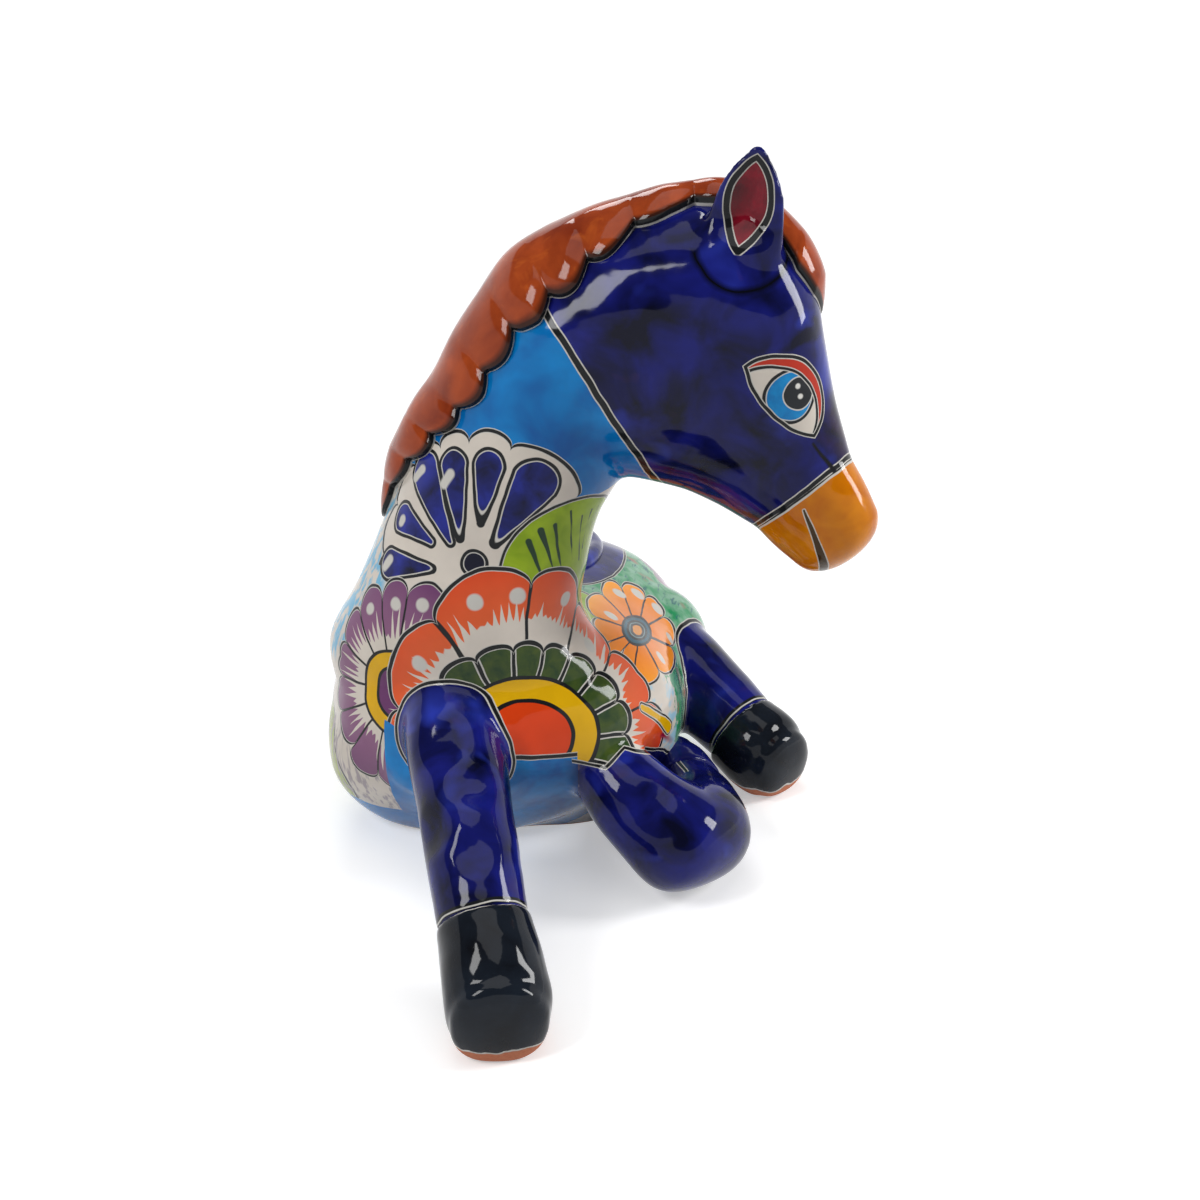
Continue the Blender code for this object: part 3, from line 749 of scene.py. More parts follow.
@dataclass(frozen=True)
class Bloom:
    """A painted flower that faces away from its centre; lengths in millimetres, angles in degrees.

    Attributes:
        coats: Colour of the petals at their tips and near the middle.
        rings: Radius and colour of each ring, from the outermost inwards.
        feather: Where the pale feathers start, how long they are and how many a full turn holds.
        scallops: Rounded sepals round the rings.
        squeeze: How much the rings are flattened.
        depth: How much distance from its plane counts; 1 follows the surface, less looks straight on.
        spots: Pale dots on the petals with their radii.
    """

    centre: Point
    face: Vector
    petals: Petals
    coats: tuple[str, str]
    rings: tuple[tuple[float, str], ...]
    feather: tuple[float, float, float] = (0.0, 0.0, 0.0)
    scallops: Petals | None = None
    squeeze: float = 1.0
    depth: float = 1.0
    line: float = 1.1
    spots: tuple[Spot, ...] = ()
    FEATHER_SWAY: ClassVar[float] = 9.0
    DOT_BLUR: ClassVar[float] = 0.8

    def paint(self, brush: Brush) -> None:
        """Paints the flower over what is there.

        Args:
            brush: The finish that it is drawn in.
        """
        add = brush.add
        local, x, y, _ = brush.facing(Sheet(self.centre, self.face, VIEW.up()))
        angle = add(Sum.ANGLE, y, x)
        flat = add(Sum.STRETCH, local, (1.0, 1.0, self.depth))
        radius = add(Sum.LENGTH, flat)
        edge, seam = self.petals.edge(brush, radius, angle)
        tip = max(self.petals.tips)
        part = add(Sum.TIMES, radius, 1 / tip, use_clamp=True)
        part = add(Sum.POWER, part, 3.0)
        brush.fill(add(MIX, part, linear(self.coats[1]), linear(self.coats[0])), edge)
        start, length, count = self.feather
        if length:
            turn = add(Sum.TIMES_PLUS, angle, count / (2 * math.pi), count)
            number = add(Sum.FLOOR, turn)
            hair = add("ShaderNodeTexWhiteNoise", None, number, noise_dimensions="1D")
            spike = add(Sum.TIMES, add(Sum.PINGPONG, turn, 0.5), 2.0)
            spike = add(Sum.TIMES, add(Sum.POWER, spike, 1.5), hair)
            reach = add(Sum.TIMES_PLUS, spike, -length, radius)
            sway = add(NOISE, brush.place, None, 0.1, 1.0)
            reach = add(Sum.TIMES_PLUS, sway, -self.FEATHER_SWAY, reach)
            brush.fill(CREAM, brush.most(reach, edge), start - self.FEATHER_SWAY / 2, 0.5)
        brush.stroke(seam, self.line * 0.9, within=edge)
        brush.outline(edge, self.line)
        for place, size in self.spots:
            brush.fill(HALO, brush.spot(place, size), 0, self.DOT_BLUR)
        squashed = add(Sum.STRETCH, local, (1.0, self.squeeze, self.depth))
        inner = add(Sum.LENGTH, squashed)
        if self.scallops:
            rim, gap = self.scallops.edge(brush, inner, angle)
            brush.fill(brush.mottled(BOTTLE_GREEN, OLIVE, 6.0, 0.7), rim)
            brush.stroke(gap, 2.6, HALO, within=rim)
            brush.stroke(gap, 1.5, within=rim)
            brush.outline(rim, self.line * 1.4)
        for reach, colour in self.rings:
            brush.fill(colour, inner, reach)
            brush.stroke(inner, self.line * 1.2, at=reach)


@dataclass
class Barrel:
    """The hollow barrel with its haunches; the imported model's values in millimetres."""

    stations: tuple[tuple[float, ...], ...] = (
        (-90, -6, 61, 32, 25, 0.9, -8),
        (-78, -6, 57, 52, 41, 0.85, -22),
        (-62, -5, 56, 64, 47, 1.19, -23),
        (-48, -5, 55, 70, 48, 1.28, -13),
        (-30, -4, 52, 74, 50, 1.6, -2),
        (-8, -4, 43, 75, 55, 1.6, 0),
        (20, -2, 37, 69, 55, 1.5, 0),
        (48, 0, 35, 66, 53, 1.4, 0),
        (76, 0, 35, 57, 46, 1.2, 0),
        (95, 0, 36, 43, 35, 1, 0),
        (105, 0, 37, 26, 22, 0.9, 0),
    )
    end_dome: float = 5.0
    haunch: Point = (46.0, 44.0, 36.0)
    haunch_half: Point = (28.0, 40.0, 33.0)
    wall: float = 7.0
    floor: float = 8.0
    mouth: tuple[float, float] = (-9.0, 46.0)
    mouth_half: tuple[float, float] = (25.0, 36.0)
    mouth_heights: tuple[float, float] = (45.0, 130.0)
    drain: tuple[float, float, float] = (0.0, 34.0, 6.0)
    drain_heights: tuple[float, float] = (-20.0, 20.0)
    around: int = 72

    def sections(self, extra: float = 0.0) -> list[Section]:
        """The barrel's sections.

        Args:
            extra: What they grow by, in metres.

        Returns:
            The sections from the chest to the rump.
        """
        made = []
        for y, x, z, wide, high, fullness, lean in self.stations:
            middle = Vector((x, y, z)) * MM
            low = Vector((-lean, 0, high * fullness)) * MM
            across = Vector((wide, 0, 0)) * MM
            made.append(Section(middle, across, Vector((0, 0, high * MM)), low).grown(extra))
        return made

    def add_to(self, clay: Clay, extra: float = 0.0) -> None:
        """Adds barrel and haunches to the clay.

        Args:
            clay: The clay.
            extra: What they grow by, in metres.
        """
        run = refined(self.sections(extra), 5)
        height = self.end_dome * MM + extra
        front = rounded_end(run[0], Vector((0, -1, 0)), height)
        back = rounded_end(run[-1], Vector((0, 1, 0)), height)
        add_loft(clay, [section.row(self.around) for section in [*reversed(front), *run, *back]])
        for side in (-1, 1):
            half = [size * MM + extra for size in self.haunch_half]
            place = Vector((side * self.haunch[0], self.haunch[1], self.haunch[2])) * MM
            ball = bmesh.ops.create_uvsphere(clay, u_segments=48, v_segments=24, radius=1.0)["verts"]
            bmesh.ops.scale(clay, vec=half, verts=ball)
            bmesh.ops.translate(clay, vec=place, verts=ball)

    def top(self, x: float, y: float) -> float:
        """Height of the barrel's back over a place on the table.

        Args:
            x: The place's x in metres.
            y: The place's y in metres.

        Returns:
            The height in metres.
        """
        rings = self.sections()
        for low, high in zip(rings, rings[1:]):
            if y <= high.middle.y:
                share = (y - low.middle.y) / (high.middle.y - low.middle.y)
                middle = low.middle.lerp(high.middle, share)
                wide = low.across.lerp(high.across, share).x
                tall = low.side.lerp(high.side, share).z
                return middle.z + tall * math.sqrt(max(0.0, 1 - ((x - middle.x) / wide) ** 2))
        return 0.0

    def _upright(self, clay: Clay, place: Sequence[float], half: Sequence[float],
                 low: float, high: float) -> None:
        """Adds an upright oval prism to the clay.

        Args:
            clay: The clay.
            place: Its middle seen from above, in millimetres.
            half: Its half axes.
            low: Height of its underside.
            high: Height of its top.
        """
        rows = []
        for z in (low, high):
            middle = Vector((place[0], place[1], z)) * MM
            section = Section(middle, Vector((half[0] * MM, 0, 0)), *[Vector((0, half[1] * MM, 0))] * 2)
            rows.append(section.row(64))
        add_loft(clay, rows)

    def hollow(self) -> list[Piece]:
        """The forms that are cut out of the barrel: room for soil, mouth and drain."""
        clay = bmesh.new()
        self.add_to(clay, -self.wall * MM)
        clay = sponged(clay, 2.5, 4)
        cut_level(clay, self.floor * MM)
        room = mesh_object("room_for_soil", clay)
        clay = bmesh.new()
        self._upright(clay, self.mouth, self.mouth_half, *self.mouth_heights)
        mouth = mesh_object("mouth", clay)
        clay = bmesh.new()
        self._upright(clay, self.drain[:2], (self.drain[2],) * 2, *self.drain_heights)
        drain = mesh_object("drain", clay)
        return [room, mouth, drain]


def cut_level(clay: Clay, height: float) -> None:
    """Cuts away what lies below a height and closes the cut with a flat face.

    Args:
        clay: The clay.
        height: Height of the cut in metres.
    """
    geometry = [*clay.verts, *clay.edges, *clay.faces]
    bmesh.ops.bisect_plane(clay, geom=geometry, dist=1e-6, plane_co=(0, 0, height),
                           plane_no=(0, 0, 1), clear_inner=True)
    rim = [edge for edge in clay.edges if edge.is_boundary]
    caps = bmesh.ops.holes_fill(clay, edges=rim, sides=0)["faces"]
    bmesh.ops.triangulate(clay, faces=caps)
    bmesh.ops.triangulate(clay, faces=clay.faces)


@dataclass
class NeckAndHead:
    """Neck, head and muzzle in one sweep: crest point, throat point and half thickness, in mm."""

    plane_y: float = -43.6
    root_z: float = 102.0
    lean: float = 0.2
    neck: tuple = (
        ((-69, -39), (52, -42), 30),
        ((-72.5, -14), (47, -18), 40),
        ((-59, 12), (33, 3), 42),
        ((-47, 41), (35, 24), 39),
        ((-37, 67), (39, 42), 37),
        ((-22, 92), (44, 53), 36),
        ((-2, 128), (48, 59), 36),
    )
    head: tuple = (
        ((17, 143.5), (58, 58.5), 37),
        ((38, 153.5), (66, 57.5), 38),
        ((61, 161.5), (74, 56), 38.5),
        ((85, 164), (81, 53.5), 38),
        ((103, 154), (87, 51), 36),
        ((116, 137), (92, 48.5), 33),
        ((122, 118), (96, 46.5), 29),
        ((127.5, 97), (99.5, 45), 25),
        ((136, 74), (102, 44), 21.5),
    )
    root_roll: float = 4.0
    head_roll: float = 26.0
    head_yaw: float = 10.0
    muzzle_length: float = 20.0
    muzzle_dome: float = 12.0
    muzzle_taper: float = 0.84
    muzzle_swell: float = 1.03
    around: int = 64

    def sections(self) -> list[Section]:
        """Sections from inside the barrel to the muzzle's seam."""
        made = []
        for index, (crest, throat, half) in enumerate(self.neck + self.head):
            share = min(1.0, index / (len(self.neck) + 1))
            roll = math.radians(self.root_roll + (self.head_roll - self.root_roll) * share)
            yaw = math.radians(self.head_yaw * share)
            ends = [Vector((x, self.plane_y + self.lean * z, self.root_z + z)) * MM
                    for x, z in (crest, throat)]
            side = Vector((math.sin(yaw) * math.cos(roll), -math.cos(yaw) * math.cos(roll), math.sin(roll)))
            side = side * half * MM
            made.append(Section((ends[0] + ends[1]) / 2, (ends[0] - ends[1]) / 2, side, side))
        return made

    def muzzle_way(self) -> Vector:
        """Unit vector out of the muzzle."""
        return self.sections()[-1].way(Vector((0, 0, -1)))

    def muzzle_sections(self) -> list[Section]:
        """The muzzle's seam, middle and end sections."""
        seam = self.sections()[-1]
        way = self.muzzle_way() * self.muzzle_length * MM
        mid = (1 + self.muzzle_taper) / 2 * self.muzzle_swell
        return [seam, seam.scaled(mid, way / 2), seam.scaled(self.muzzle_taper, way)]

    def add_to(self, clay: Clay) -> None:
        """Adds neck, head and muzzle to the clay.

        Args:
            clay: The clay.
        """
        muzzle = refined(self.muzzle_sections(), 6)
        tip = rounded_end(muzzle[-1], self.muzzle_way(), self.muzzle_dome * MM, 10)
        run = refined(self.sections(), 6) + muzzle[1:] + tip
        add_loft(clay, [section.row(self.around) for section in run])

    def neck_seam(self) -> Section:
        """The section where the head is luted to the neck."""
        return self.sections()[len(self.neck) - 1]


@dataclass
class Ear:
    """A leaf-shaped ear, scooped on its outer face, in millimetres; its shape is in shares of them."""

    head: NeckAndHead
    angle: float
    forward: float
    splay: float
    station: float = 10.2
    length: float = 40.5
    sink: float = 9.0
    half_width: float = 13.5
    half_thick: float = 8.5
    shape: tuple = (
        (0.0, 1.16), (0.16, 1.14), (0.36, 1.03), (0.58, 0.9), (0.76, 0.66), (0.9, 0.36), (1.0, 0.1))
    edge_thick: float = 0.35
    thinning: float = 0.45
    steps: int = 28
    around: int = 32

    def frame(self) -> tuple[Vector, Vector, Vector, Vector]:
        """The ear's root, its axis, its width direction and the direction that its scoop faces."""
        ring = section_at(self.head.sections(), self.station)
        away = (ring.side if self.angle > 0 else -ring.side).normalized()
        ahead = Vector((1, 0, 0))
        axis = (ring.across.normalized() + away * self.splay + ahead * self.forward).normalized()
        wide = (ahead - axis * ahead.dot(axis)).normalized()
        deep = axis.cross(wide).normalized()
        deep = deep if deep.dot(away) > 0 else -deep
        return ring.point(math.radians(self.angle)) - axis * self.sink * MM, axis, wide, deep

    def add_to(self, clay: Clay) -> None:
        """Adds the ear to the clay.

        Args:
            clay: The clay.
        """
        root, axis, wide, deep = self.frame()
        rows = []
        for k in range(self.steps + 1):
            share = k / self.steps
            width = value_at(self.shape, share) if share < 0.97 else 0.14
            thick = self.edge_thick + (1 - self.edge_thick) * width
            thick *= self.half_thick * (1 - self.thinning * share)
            scoop = min(1.0, max(0.0, share - 0.12) * 5) * min(1.0, (1 - share) * 8)
            row = []
            for j in range(self.around):
                turn = 2 * math.pi * j / self.around
                x, y = math.cos(turn), math.sin(turn)
                if y > 0:
                    hollow = (1 - x * x) * (1.9 * x * x - 0.5)
                    y = y * (1 - scoop) + hollow * scoop
                place = root + axis * (self.length * share * MM)
                row.append(place + wide * (self.half_width * width * x * MM) + deep * (thick * y * MM))
            rows.append(row)
        add_loft(clay, rows)


class LimbPart(Enum):
    """Names of the limbs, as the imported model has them."""

    FORE_RIGHT = ("foreleg_right", "fore_hoof_right")
    FORE_LEFT = ("foreleg_left", "fore_hoof_left")
    HIND_LEFT = ("hind_leg_left", "hind_hoof_left")
    HIND_RIGHT = ("hind_leg_right", "hind_hoof_right")


Path3 = tuple[Spot, ...]


def tube_sections(points: Path3, extra: float = 0.0) -> list[Section]:
    """Round sections along a path, each square to it.

    Args:
        points: Places with radii, in millimetres.
        extra: What the radii grow by, in metres.

    Returns:
        The sections.
    """
    places = [Vector(place) * MM for place, _ in points]
    made = []
    for k, (_, radius) in enumerate(points):
        ahead = places[min(k + 1, len(places) - 1)] - places[max(k - 1, 0)]
        side = ahead.cross(Vector((0, 0, 1))).normalized()
        rise = side.cross(ahead).normalized() * (radius * MM + extra)
        made.append(Section(places[k], side * (radius * MM + extra), rise, rise))
    return made


@dataclass
class Limb:
    """A leg with its hoof: middle points with radii in millimetres.

    Attributes:
        hoof_lip: How far the hoof stands out over the leg.
        bluntness: Length of the hoof's rounded front as a share of its radius.
        flatness: Below 1, how square the hoof's underside and front are.
        waves: Height and pitch of the hoof's unevenness.
    """

    part: LimbPart
    leg: Path3
    hoof: Path3
    hoof_lip: float = 0.6
    root_spread: float = 2.2
    bluntness: float = 0.43
    flatness: float = 0.8
    swell: float = 0.09
    waves: tuple[float, float] = (0.5, 15.0)
    overlap: float = 3.0
    around: int = 48

    def seam(self) -> Section:
        """The section between leg and hoof."""
        return tube_sections(self.leg + self.hoof)[len(self.leg) - 1]

    def seam_way(self) -> Vector:
        """Unit vector across that seam towards the hoof."""
        seam = self.seam()
        return seam.way(Vector(self.hoof[0][0]) * MM - seam.middle)

    def add_to(self, clay: Clay) -> None:
        """Adds the leg to the clay, ending a little inside the hoof.

        Args:
            clay: The clay.
        """
        run = tube_sections(self.leg + self.hoof)
        leg = refined(run, 8)[: 8 * (len(self.leg) - 1) + 1]
        end = self.seam_way()
        leg.append(leg[-1].scaled(0.97, end * self.overlap * MM))
        root = (leg[0].middle - leg[1].middle).normalized()
        rows = [*reversed(rounded_end(leg[0], root, leg[0].side.length)), *leg]
        add_loft(clay, [section.row(self.around) for section in rows])

    def hoof_object(self) -> Piece:
        """The hoof as a closed form with a rounded rim at its seam and a flat underside."""
        run = tube_sections(self.leg + self.hoof)
        fine = []
        for k, section in enumerate(refined(run, 10)[10 * (len(self.leg) - 1):]):
            full = k / (10 * len(self.hoof))
            size = section.side.length * (1 + self.swell * full**3)
            upright = section.side.lerp(Vector((0, 0, size)), full).normalized() * size
            across = section.across.normalized() * size
            fine.append(Section(section.middle, across, upright, upright).grown(self.hoof_lip * MM))
        way = self.seam_way()
        rim = [fine[0].grown(-lift * MM).scaled(1.0, way * shift * MM)
               for lift, shift in ((4.0, 0.9), (1.2, 0.3), (0.5, 0.33), (0.15, 0.55))]
        last = (fine[-1].middle - fine[-2].middle) * Vector((1, 1, 0))
        last = last.normalized() * fine[-1].side.length * self.bluntness
        tip = [fine[-1].scaled(math.cos(turn) ** self.flatness, last * math.sin(turn) ** self.flatness)
               for turn in (math.radians(DOME_TURN) * k / 12 for k in range(1, 13))]
        clay = bmesh.new()
        body = [section for section in fine if (section.middle - fine[0].middle).dot(way) > 0.9 * MM]
        rows = []
        for section in [*rim, *body, *tip]:
            row = []
            for turn in (2 * math.pi * k / 64 for k in range(64)):
                x, y = math.cos(turn), math.sin(turn)
                if y < 0:
                    x, y = math.copysign(abs(x) ** self.flatness, x), -abs(y) ** self.flatness
                row.append(section.middle + section.across * x + section.side * y)
            rows.append(row)
        add_loft(clay, rows)
        clay = sponged(clay, 1.0, 8)
        wobble(clay, *self.waves)
        cut_level(clay, 0.0)
        made = mesh_object(self.part.value[1], clay)
        made.data.shade_smooth()
        made.data.set_sharp_from_angle(angle=math.radians(48.0))
        return made


def wobble(clay: Clay, height: float, pitch: float) -> None:
    """Gives the clay the shallow unevenness of a hand-formed wall.

    Args:
        clay: The clay.
        height: Greatest rise or dip, in millimetres.
        pitch: Distance between rises, in millimetres.
    """
    clay.normal_update()
    for vert in clay.verts:
        vert.co += vert.normal * noise.noise(vert.co / (pitch * MM)) * height * MM


LIMBS: tuple[Limb, ...] = (
    Limb(
        LimbPart.FORE_RIGHT,
        (((-16, -64, 74), 21), ((-9, -87, 70), 20.5), ((2, -113, 60), 18.5),
         ((12, -136, 47.5), 18), ((21, -155, 34), 17)),
        (((28, -169, 25), 18.5), ((33, -180, 18.5), 18.5), ((35, -186, 16.5), 16)),
    ),
    Limb(
        LimbPart.FORE_LEFT,
        (((34, -54, 53), 13.5), ((49, -66, 46), 16), ((65.5, -75.5, 36), 19),
         ((81.5, -77.5, 24.5), 22.5), ((88, -67, 21.5), 21), ((84, -48, 18.5), 18),
         ((77, -34, 17), 16.5)),
        (((70, -23, 16.5), 16.5), ((65, -15, 16), 14)),
    ),
    Limb(
        LimbPart.HIND_LEFT,
        (((44, 44, 40), 22), ((62, 34, 37), 22), ((80, 22, 30), 19.5),
         ((94, 12, 23.5), 17.5)),
        (((103, 6, 19.5), 18.5), ((109.5, 2, 17.5), 17.5), ((113.5, -1, 16.5), 14)),
    ),
    Limb(
        LimbPart.HIND_RIGHT,
        (((-46, 56, 40), 23), ((-62, 50, 36), 22), ((-72, 36, 26), 19),
         ((-76, 20, 20), 17.5)),
        (((-77, 10, 18), 18), ((-77, 3, 17), 15.5)),
    ),
)


@dataclass(frozen=True)
class Seam:
    """A plane on which the clay skin is parted, and a point well beyond it."""

    name: str
    place: Vector
    way: Vector
    reach: float
    beyond: Vector


@dataclass
class ClaySkin:
    """Barrel, neck, head, ears and legs formed as one, smoothed and parted at the seams.

    Attributes:
        waves: Height and pitch of the hand-formed unevenness, in millimetres.
        dents: Place, radius and depth of each thumb dent.
        leg_cuts: Number of the leg, station of the cut, reach of its plane and a station beyond it.
    """

    barrel: Barrel
    head: NeckAndHead
    ears: tuple[Ear, ...]
    limbs: tuple[Limb, ...]
    voxel: float = 1.45
    sponge_rounds: int = 14
    waves: tuple[float, float] = (0.8, 25.0)
    dents: tuple[tuple[Point, float, float], ...] = (
        ((-6, -112, 81), 15, 2.4), ((9, -126, 71), 12, 2),
        ((-1, -140, 60), 13, 2.2), ((16, -148, 60), 12, 1.8),
        ((22, -138, 48), 12, 1.8), ((70, -90, 45), 14, 1.6),
        ((84, -92, 36), 11, 1.6), ((64, -62, 246), 15, 1.8),
        ((100, -58, 228), 12, 1.4))
    leg_cuts: tuple[tuple[int, float, float, float], ...] = (
        (0, 2.0, 26.0, 3.5), (1, 2.0, 23.0, 4.0), (1, 5.2, 24.0, 4.0), (2, 2.25, 23.0, 2.9))

    def seams(self) -> list[Seam]:
        """Where the skin is parted: legs first, then the muzzle, then the head.

        The folded foreleg is parted twice, because its end leans on the barrel.
        """
        made = []
        for number, share, reach, seed in self.leg_cuts:
            limb = self.limbs[number]
            run = tube_sections(limb.leg + limb.hoof)
            here = section_at(run, share)
            way = (section_at(run, share + 0.1).middle - section_at(run, share - 0.1).middle).normalized()
            beyond = section_at(run, seed).middle
            made.append(Seam(limb.part.value[0], here.middle, way, reach * MM, beyond))
        muzzle = self.head.muzzle_sections()
        made.append(Seam("muzzle", muzzle[0].middle, self.head.muzzle_way(), 45 * MM, muzzle[-1].middle))
        seam = self.head.neck_seam()
        brow = section_at(self.head.sections(), 10.0)
        made.append(Seam("head", seam.middle, seam.way(Vector((1, 0, 0))), 75 * MM, brow.middle))
        return made

    def _fused(self) -> Piece:
        """All forms melted into one smooth skin that stands flat on the table."""
        clay = bmesh.new()
        self.barrel.add_to(clay)
        self.head.add_to(clay)
        for form in (*self.ears, *self.limbs):
            form.add_to(clay)
        clay = sponged(clay, self.voxel, self.sponge_rounds)
        wobble(clay, *self.waves)
        self._press_dents(clay)
        cut_level(clay, 0.0)
        return mesh_object("clay_skin", clay)

    def _press_dents(self, clay: Clay) -> None:
        """Presses the thumb dents into the clay.

        Args:
            clay: The clay.
        """
        for place, radius, depth in self.dents:
            middle = Vector(place) * MM
            for vert in clay.verts:
                near = (vert.co - middle).length / (radius * MM)
                if near < 1:
                    vert.co -= vert.normal * (depth * MM * (1 - near * near) ** 2)

    def _hollow_out(self, skin: Piece, bisque: Finish) -> None:
        """Cuts room, mouth and drain out of the skin.

        Args:
            skin: The skin.
            bisque: The finish that their walls keep.
        """
        for cutter in self.barrel.hollow():
            cutter.data.materials.append(bisque)
            cut = skin.modifiers.new(cutter.name, "BOOLEAN")
            cut.operation = "DIFFERENCE"
            cut.solver = "EXACT"
            cut.material_mode = "TRANSFER"
            cut.object = cutter
            settle(skin)
            bpy.data.objects.remove(cutter)

    def build(self, bisque: Finish) -> dict[str, Piece]:
        """Forms the skin and parts it.

        Args:
            bisque: The finish of the walls inside.

        Returns:
            The pieces by name; the rest of the skin is named painted_body.
        """
        skin = self._fused()
        skin.data.materials.append(bpy.data.materials.new("unpainted_skin"))
        self._hollow_out(skin, bisque)
        clay = bmesh.new()
        clay.from_mesh(skin.data)
        bmesh.ops.triangulate(clay, faces=clay.faces)
        seams = self.seams()
        cuts: set[bmesh.types.BMEdge] = set()
        for seam in seams:
            faces = [face for face in clay.faces
                     if (face.calc_center_median() - seam.place).length < seam.reach]
            edges = {edge for face in faces for edge in face.edges}
            verts = {vert for face in faces for vert in face.verts}
            done = bmesh.ops.bisect_plane(clay, geom=[*verts, *edges, *faces], dist=1e-7,
                                          plane_co=seam.place, plane_no=seam.way)
            cuts.update(item for item in done["geom_cut"] if isinstance(item, bmesh.types.BMEdge))
        bmesh.ops.triangulate(clay, faces=clay.faces)
        clay.faces.index_update()
        label = np.zeros(len(clay.faces), dtype=int)
        names = list(dict.fromkeys(seam.name for seam in seams))
        for seam in seams:
            number = names.index(seam.name) + 1
            start = min(clay.faces, key=lambda face: (face.calc_center_median() - seam.beyond).length)
            if label[start.index]:
                continue
            label[start.index] = number
            edge_of_fill = [start]
            while edge_of_fill:
                face = edge_of_fill.pop()
                for edge in face.edges:
                    if edge in cuts:
                        continue
                    for other in edge.link_faces:
                        if not label[other.index]:
                            label[other.index] = number
                            edge_of_fill.append(other)
        clay.to_mesh(skin.data)
        clay.free()
        return self._parted(skin, label, seams)

    def _parted(self, skin: Piece, label: np.ndarray, seams: list[Seam]) -> dict:
        """Makes one closed piece of each labelled part, shaded as the unbroken skin was.

        Args:
            skin: The skin, which is removed.
            label: Number of the part that each triangle belongs to.
            seams: The seams, in the order of those numbers.

        Returns:
            The pieces by name.
        """
        mesh = skin.data
        mesh.shade_smooth()
        mesh.set_sharp_from_angle(angle=math.radians(50.0))
        places = np.empty(len(mesh.vertices) * 3)
        mesh.vertices.foreach_get("co", places)
        places = places.reshape(-1, 3)
        corners = np.empty(len(mesh.loops), dtype=int)
        mesh.loops.foreach_get("vertex_index", corners)
        triangles = corners.reshape(-1, 3)
        normals = np.array([corner.vector for corner in mesh.corner_normals]).reshape(-1, 3, 3)
        which = np.empty(len(mesh.polygons), dtype=int)
        mesh.polygons.foreach_get("material_index", which)
        pieces = {}
        for number, name in enumerate(["painted_body", *dict.fromkeys(seam.name for seam in seams)]):
            picked = label == number
            pieces[name] = closed_piece(name, places, triangles[picked], normals[picked], which[picked],
                                        [seam.place for seam in seams])
        bpy.data.objects.remove(skin)
        return pieces


def closed_piece(name: str, places: np.ndarray, triangles: np.ndarray, normals: np.ndarray,
                 which: np.ndarray, middles: list[Vector]) -> Piece:
    """A closed object from part of a skin; open loops are capped from the nearest seam's middle.

    Args:
        name: The object's name.
        places: All points of the skin.
        triangles: Corner indices of this part.
        normals: Corner normals of this part.
        which: Material index of each triangle.
        middles: Middle points of the seams.

    Returns:
        The object.
    """
    used, local = np.unique(triangles, return_inverse=True)
    local = local.reshape(-1, 3)
    points = places[used]
    ways = np.concatenate([local[:, [0, 1]], local[:, [1, 2]], local[:, [2, 0]]])
    present = {tuple(way) for way in ways.tolist()}
    open_ways = [way for way in present if (way[1], way[0]) not in present]
    extra_points: list[np.ndarray] = []
    caps: list[tuple[int, int, int]] = []
    for middle in middles:
        rim = [way for way in open_ways
               if min(middles, key=lambda m: (m - Vector(points[way[0]])).length) is middle]
        if rim:
            hub = len(points) + len(extra_points)
            extra_points.append(np.mean([points[way[0]] for way in rim], axis=0))
            caps.extend((b, a, hub) for a, b in rim)
    mesh = bpy.data.meshes.new(name)
    rows = [*points.tolist(), *[point.tolist() for point in extra_points]]
    mesh.from_pydata(rows, [], [*local.tolist(), *caps])
    mesh.polygons.foreach_set("material_index", [*which.tolist(), *[0] * len(caps)])
    mesh.shade_smooth()
    cap_ways = []
    for polygon in list(mesh.polygons)[len(local):]:
        cap_ways.extend([tuple(polygon.normal)] * 3)
    mesh.normals_split_custom_set([*map(tuple, normals.reshape(-1, 3)), *cap_ways])
    return placed(name, mesh)


